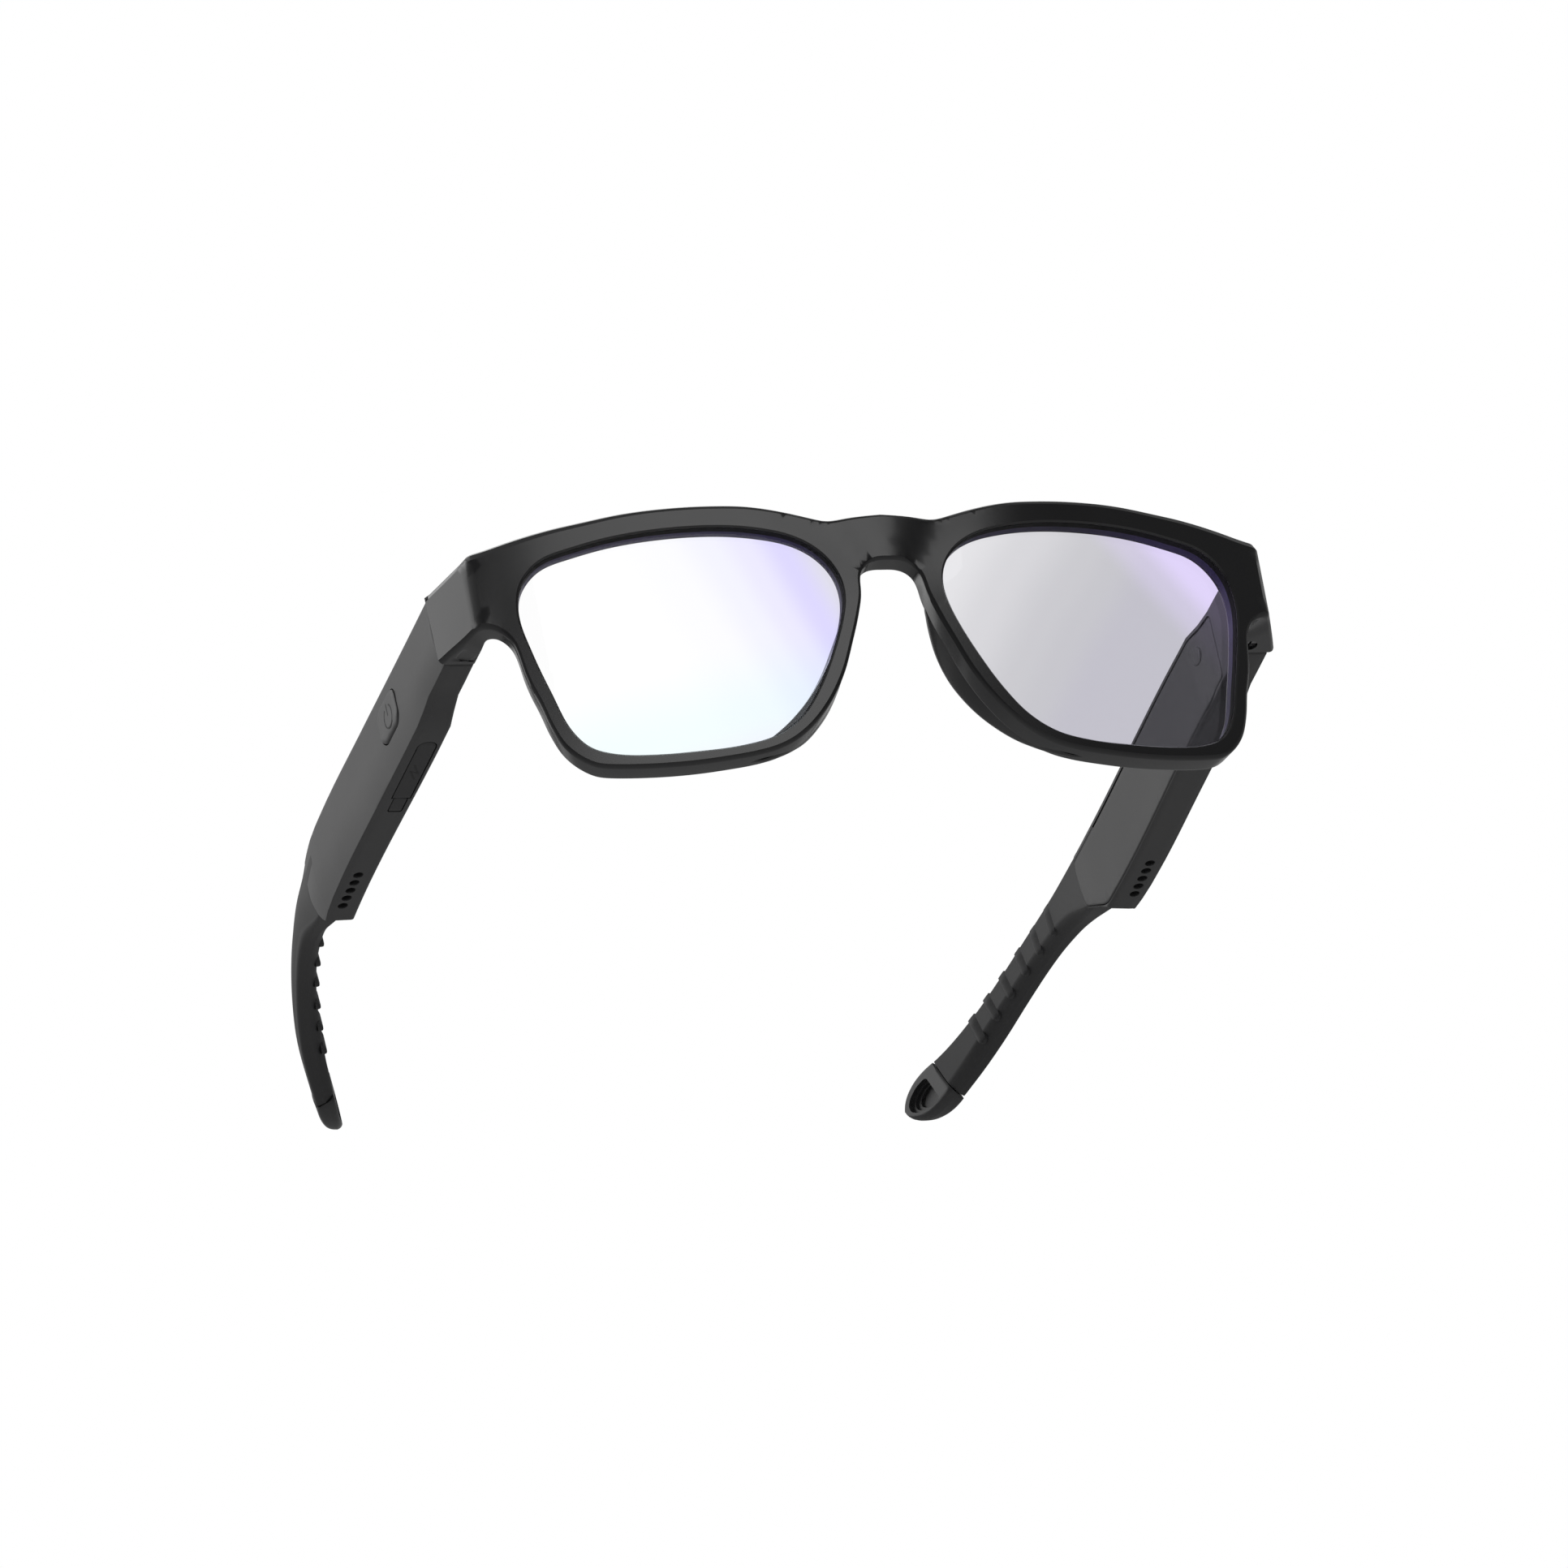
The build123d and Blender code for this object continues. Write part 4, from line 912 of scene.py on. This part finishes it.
def tip_section(y, low, top, x_low, x_top, x_out, bevel):
    """(x, z) points of a tip outline, anticlockwise from the inner bottom."""
    w = float(easy((y - 103) / 15))
    height = top - low
    in_low, in_up = 1.03 - 0.75 * w, 0.35 + 0.05 * w
    r_low, r_top = min(0.3 + 1.0 * w, 0.3 * height), min(2.4 - 0.9 * w, 0.3 * height)
    width = x_out - x_low
    wide = min(r_top * (1.2 - 0.2 * w), 0.4 * width)
    mid = low + 0.5 * height
    foot, shoulder = low + r_low, top - r_top
    edge_x = min(0.35, 0.2 * width)
    p = edge((x_low + bevel, low), (x_out - in_low - r_low, low), 8)
    p += turn((x_out - in_low - r_low, low), (x_out - in_low, low), (x_out - in_low * 0.93, foot), 8)
    p += [(x_out - in_low * 0.93 * (1 - math.sin(t * math.pi / 2)), foot + t * (mid - foot))
          for t in np.arange(10) / 10]
    p += [(x_out - in_up * t * t, mid + t * (shoulder - mid)) for t in np.arange(8) / 8]
    p += turn((x_out - in_up, shoulder), (x_out - in_up - 0.1, top), (x_out - in_up - wide, top), 10)
    p += edge((x_out - in_up - wide, top), (x_top + edge_x, top), 6)
    p += turn((x_top + edge_x, top), (x_top, top), (x_top, top - 0.35), 4)
    p += edge((x_top, top - 0.35), (x_low, low + bevel), 14)
    p += turn((x_low, low + bevel), (x_low + 0.28 * bevel, low + 0.28 * bevel), (x_low + bevel, low), 8)
    return np.array(p)


def sleeve_ring(y, inset=0.05):
    low, top = float(TIP_LOW(y)) + inset, float(TIP_TOP(y)) - inset
    x_low, x_top, x_out = float(INNER_LOW(y)) + inset, float(INNER_TOP(y)) + inset, float(OUTER(y)) - inset
    bevel = 0.8 + 1.0 * float(easy((y - 106) / 10))
    return tip_section(y, low, top, x_low, x_top, x_out, bevel)


def stood(ring, y):
    """(x, z) points as (x, y, z) points, at one y or at one each."""
    return np.column_stack([ring[:, 0], np.full(len(ring), y), ring[:, 1]])


def ring_at(section, depths):
    """A ring whose points sit at their own depths along y."""
    return np.array([section(y)[k] for k, y in enumerate(depths)])


RIBS = ((121.5, -6.3), (126.9, -6.7), (131.9, -7.45), (136.9, -8.65), (141.5, -10.0), (145.8, -11.8))
RIB_SHAPE = ((-1.1, -0.5), (-1.05, 0.0), (-0.65, 0.2), (-0.25, 0.36), (0.1, 0.45), (0.35, 0.45),
             (0.55, 0.3), (0.68, 0.0), (0.7, -0.5))


def rib(shape, y_low, z_low):
    """One grip rib across the inner face, from its top edge to a rounded lower end."""
    slope = (float(TIP_TOP(y_low + 2)) - float(TIP_TOP(y_low - 2))) / 4
    across = np.array([-slope, 1]) / math.hypot(slope, 1)
    along = np.array([across[1], -across[0]])
    low = np.array([y_low, z_low]) + across * 0.1
    length = (float(TIP_TOP(y_low)) - 0.28 - low[1]) / across[1]
    fall = (float(INNER_LOW(y_low + 1)) - float(INNER_LOW(y_low - 1))) / 2
    out = np.array([-1, fall, 0]) / math.hypot(1, fall)
    rings = []
    for s in np.concatenate([1.0 * (1 - np.cos(np.linspace(0.12, math.pi / 2, 8))),
                             np.linspace(1.3, length, 12)]):
        size = math.sqrt(max(0.0, 1 - (1 - min(s, 1.0)) ** 2))
        lift = (0.25 + 0.75 * size) * min(1.0, 0.1 + (length - s) / 1.6)
        ring = []
        for a, h in RIB_SHAPE:
            y, z = low + across * s + along * (a * size)
            x = float(inner_x(np.array([[y, z]]))[0]) + 0.05
            ring.append(np.array([x, y, z]) + out * (h * lift if h > 0 else h))
        rings.append(np.array(ring))
    shape.rings(rings)


def sleeve_shape():
    shape = Shape()
    rings = []
    for y in np.concatenate([np.arange(98, 126, 1.0), np.arange(126, 153, 1.5)]):
        ring = sleeve_ring(y)
        rings.append(stood(ring, y))
    for t in np.linspace(0, 1, 6)[1:]:
        base = sleeve_ring(152 + 4 * t)
        depths = 151.5 + t * (end_y(base[:, 0], base[:, 1]) - 0.14 - 151.5)
        ring = ring_at(sleeve_ring, depths)
        rings.append(stood(ring, depths))
    last = rings[-1]
    shrunk = last.copy()
    shrunk[:, [0, 2]] += inward(last[:, [0, 2]]) * 0.18
    shrunk[:, 1] += 0.1
    shape.rings(rings + [shrunk])
    for y_low, z_low in RIBS:
        rib(shape, y_low, z_low)
    return shape


CAP_TOP = ((154, -7.3), (157, -7.85), (160, -8.15), (162.2, -8.85), (163.9, -10.0), (164.9, -11.4),
           (165.2, -12.6))
CAP_LOW = ((152, -14.3), (155, -15.4), (157.5, -16.3), (160, -16.6), (162.3, -16.2), (164, -15.1),
           (164.9, -14.0), (165.2, -12.7))
CAP_LAST = 165.17
CAP_OUT = ((152, 59.2), (156, 57.25), (160, 55.3), (163, 53.2), (164.5, 51.6), (165.2, 50.0))
cap_top, cap_low, cap_out = track(CAP_TOP, 2), track(CAP_LOW, 2), track(CAP_OUT, 2)


def cap_ring(y):
    y = min(y, CAP_LAST)
    low, top, x_in = float(cap_low(y)), float(cap_top(y)), float(INNER_LOW(y))
    x_out = max(float(cap_out(y)), x_in + 0.5)
    if top - low < 0.4:
        mid = (top + low) / 2
        low, top = mid - 0.2, mid + 0.2
    bevel = min(1.1, 0.3 * (top - low), 0.35 * (x_out - x_in))
    return tip_section(y, low, top, x_in, x_in, x_out, bevel)


def cap_shape():
    shape = Shape()
    rings = []
    first = cap_ring(156)
    start = end_y(first[:, 0], first[:, 1]) + 0.14
    stations = CAP_LAST - 7.0 * (1 - np.sin(np.linspace(0, math.pi / 2, 20)))
    for k in range(7):
        depths = start + (stations[0] - start) * k / 7
        ring = ring_at(cap_ring, depths)
        if k == 0:
            bevelled = ring + inward(ring) * 0.2
            rings.append(stood(bevelled, depths))
            depths = depths + 0.15
        rings.append(stood(ring, depths))
    for y in stations:
        ring = cap_ring(y)
        rings.append(stood(ring, y))
    shape.rings(rings)
    return shape


POCKET = ((159.5, -9.5), (161.9, -10.0), (163.6, -11.2), (164.2, -12.4), (163.9, -13.6), (162.4, -14.7),
          (160.2, -15.5), (158.4, -15.45), (157.6, -14.6))
POCKET_SEAT, POCKET_FALL = (159.4, -12.4), 0.45


def pocket_cut(size, deep):
    """A D-shaped cutter into the cap's inner face, the smaller ones against the straight side."""
    line = anticlockwise(spaced(corner_line(POCKET, 0.9), 0.6))
    line = POCKET_SEAT + (line - POCKET_SEAT) * size
    shape = Shape()
    out = np.array([-1, -POCKET_FALL, 0]) / math.hypot(1, POCKET_FALL)
    base = np.column_stack([INNER_LOW(line[:, 0]), line])
    shape.rings([base + out * h for h in (1.5, -deep)])
    return shape


for side, sign in SIDES:
    piece(side + "_sleeve", sleeve_shape(), rubber_black, side + "_temple", sign,
          (side + "_tip_sleeve",), sharp=38)
    piece(side + "_cap", cap_shape(), cap_black, side + "_temple", sign,
          (side + "_tip_cap",), sharp=38,
          cutters=[pocket_cut(1.0, 0.8), pocket_cut(0.84, 1.3), pocket_cut(0.68, 1.8)])

# ---------------- materials of the CAD parts that stay


def woven(name, color):
    """Fine wire or cloth mesh."""
    m = moulded(name, color, 0.5, grain=2000, depth=0.00003)
    tree = m.node_tree
    at = next(n for n in tree.nodes if n.type == "TEX_COORD").outputs["Object"]
    bump = next(n for n in tree.nodes if n.type == "BUMP")
    warp, weft = [node(tree, "TexWave", {"Vector": at, "Scale": 900}, bands_direction=axis).outputs["Fac"]
                  for axis in ("X", "Y")]
    both = node(tree, "Math", {0: warp, 1: weft}, operation="MAXIMUM")
    tree.links.new(both.outputs["Value"], bump.inputs["Height"])
    return m


finishes = {
    "front_gloss": front_black, "temple_shell": temple_black, "tip_rubber": rubber_black,
    "button": button_black, "lens": lens_glass, "hinge_steel": steel,
    "socket_steel": metal("socket_steel", (0.55, 0.55, 0.57), 0.3),
    "mesh": woven("speaker_mesh_weave", (0.01, 0.01, 0.011)),
    "speaker": moulded("speaker_black", (0.02, 0.02, 0.022), 0.5),
    "battery_wrap": moulded("battery_wrap", (0.25, 0.3, 0.36), 0.35, grain=800, mottle=0.15),
    "board": moulded("board_green", (0.01, 0.09, 0.035), 0.4, grain=1500, mottle=0.25),
    "module_can": metal("module_can", (0.6, 0.6, 0.62), 0.35),
    "flex_film": moulded("flex_film", (0.35, 0.14, 0.02), 0.35, grain=900, mottle=0.2)}
for part in frame["record"]["subparts"]:
    for slot in frame["nodes"][part["node"]].material_slots:
        slot.material = finishes[part["material_slot"]]

# ---------------- camera, light, floor
# rows: the worn directions of the picture's right and up, and towards the camera
PICTURE_W, CAMERA_AWAY, PICTURE_MID = 0.2585, 0.6, (-15.92, -44.68)
VIEW = np.array([(0.9438, -0.2713, -0.1888), (0.0142, -0.5373, 0.8433), (-0.3302, -0.7986, -0.5033)])
camera_data = bpy.data.cameras.new("camera")
camera_data.type = "ORTHO"
camera_data.ortho_scale = PICTURE_W
camera_data.clip_start, camera_data.clip_end = 0.01, 10
camera = bpy.data.objects.new("camera", camera_data)
bpy.context.scene.collection.objects.link(camera)
bpy.context.scene.camera = camera
axes = [Vector(turned(v)).normalized() for v in VIEW]
axes[1] = axes[2].cross(axes[0]).normalized()
axes[0] = axes[1].cross(axes[2]).normalized()
target = Vector(place(PICTURE_MID[0] * VIEW[0] + PICTURE_MID[1] * VIEW[1]))
turn_camera = Matrix([axes[0], axes[1], axes[2]]).transposed().to_4x4()
camera.matrix_world = Matrix.Translation(target + axes[2] * CAMERA_AWAY) @ turn_camera

# the camera looks up from below, so the floor lies far under the glasses; its glow shows to the camera only
FLOOR_Z, FLOOR_HALF, FLOOR_GLOW = -0.6, 4, 0.475
floor_mesh = bpy.data.meshes.new("floor")
floor_corners = [(x * FLOOR_HALF, y * FLOOR_HALF, 0) for x, y in ((-1, -1), (1, -1), (1, 1), (-1, 1))]
floor_mesh.from_pydata(floor_corners, [], [(0, 1, 2, 3)])
floor = bpy.data.objects.new("floor", floor_mesh)
floor.location = (0, 0, FLOOR_Z)
bpy.context.scene.collection.objects.link(floor)
pale = moulded("pale_floor", (0.9, 0.9, 0.9), 0.8, grain=40, depth=0.0005, mottle=0.01,
               Emission_Color=(FLOOR_GLOW, FLOOR_GLOW, FLOOR_GLOW, 1))
tree = pale.node_tree
path = node(tree, "LightPath").outputs
tree.links.new(path["Is Camera Ray"], tree.nodes["Principled BSDF"].inputs["Emission Strength"])
floor_mesh.materials.append(pale)


def lamp(name, direction, distance, size, radiance):
    """A soft box in that worn direction from the glasses, facing them."""
    data = bpy.data.lights.new(name, "AREA")
    data.shape = "RECTANGLE"
    data.size, data.size_y = size
    data.energy = radiance * math.pi * size[0] * size[1]
    obj = bpy.data.objects.new(name, data)
    middle = Vector(place((0, 60, -10)))
    toward = Vector(turned(direction)).normalized()
    obj.location = middle + toward * distance
    obj.rotation_euler = toward.to_track_quat("Z", "Y").to_euler()
    obj.visible_camera = obj.visible_transmission = False
    bpy.context.scene.collection.objects.link(obj)


lamp("rear_left_soft", (-0.74, 0.45, 0.5), 1.0, (0.8, 0.8), 1.2)
lamp("front_left_soft", (0.08, -0.91, 0.37), 1.0, (0.62, 0.5), 1.7)
lamp("top_soft", (0.1, 0.4, 0.9), 1.1, (0.7, 0.7), 0.9)

world = bpy.data.worlds.new("studio")
bpy.context.scene.world = world
world.use_nodes = True
tree = world.node_tree
tree.nodes.clear()
# lighter behind and above; white to the camera and through the lenses
lightest = Vector(turned((-0.33, 0.8, 0.5))).normalized()
at = node(tree, "TexCoord").outputs["Generated"]
facing = node(tree, "VectorMath", {0: at, 1: lightest}, operation="DOT_PRODUCT").outputs["Value"]
span = node(tree, "MapRange", {"Value": facing, "From Min": -1}).outputs["Result"]
shade = ramp(tree, span, [(at, (v, v, v)) for at, v in ((0.0, 0.08), (0.5, 0.18), (0.8, 0.4), (1.0, 0.6))])
path = node(tree, "LightPath").outputs
seen = node(tree, "Math", {0: path["Is Camera Ray"], 1: path["Is Transmission Ray"]}, operation="MAXIMUM")
soft = node(tree, "Background", {"Color": shade})
white = node(tree, "Background", {"Color": (1, 1, 1, 1)})
mix = node(tree, "MixShader", {"Fac": seen.outputs["Value"], 1: soft.outputs["Background"],
                               2: white.outputs["Background"]})
node(tree, "OutputWorld", {"Surface": mix.outputs["Shader"]})
bpy.context.scene.view_settings.view_transform = "Standard"
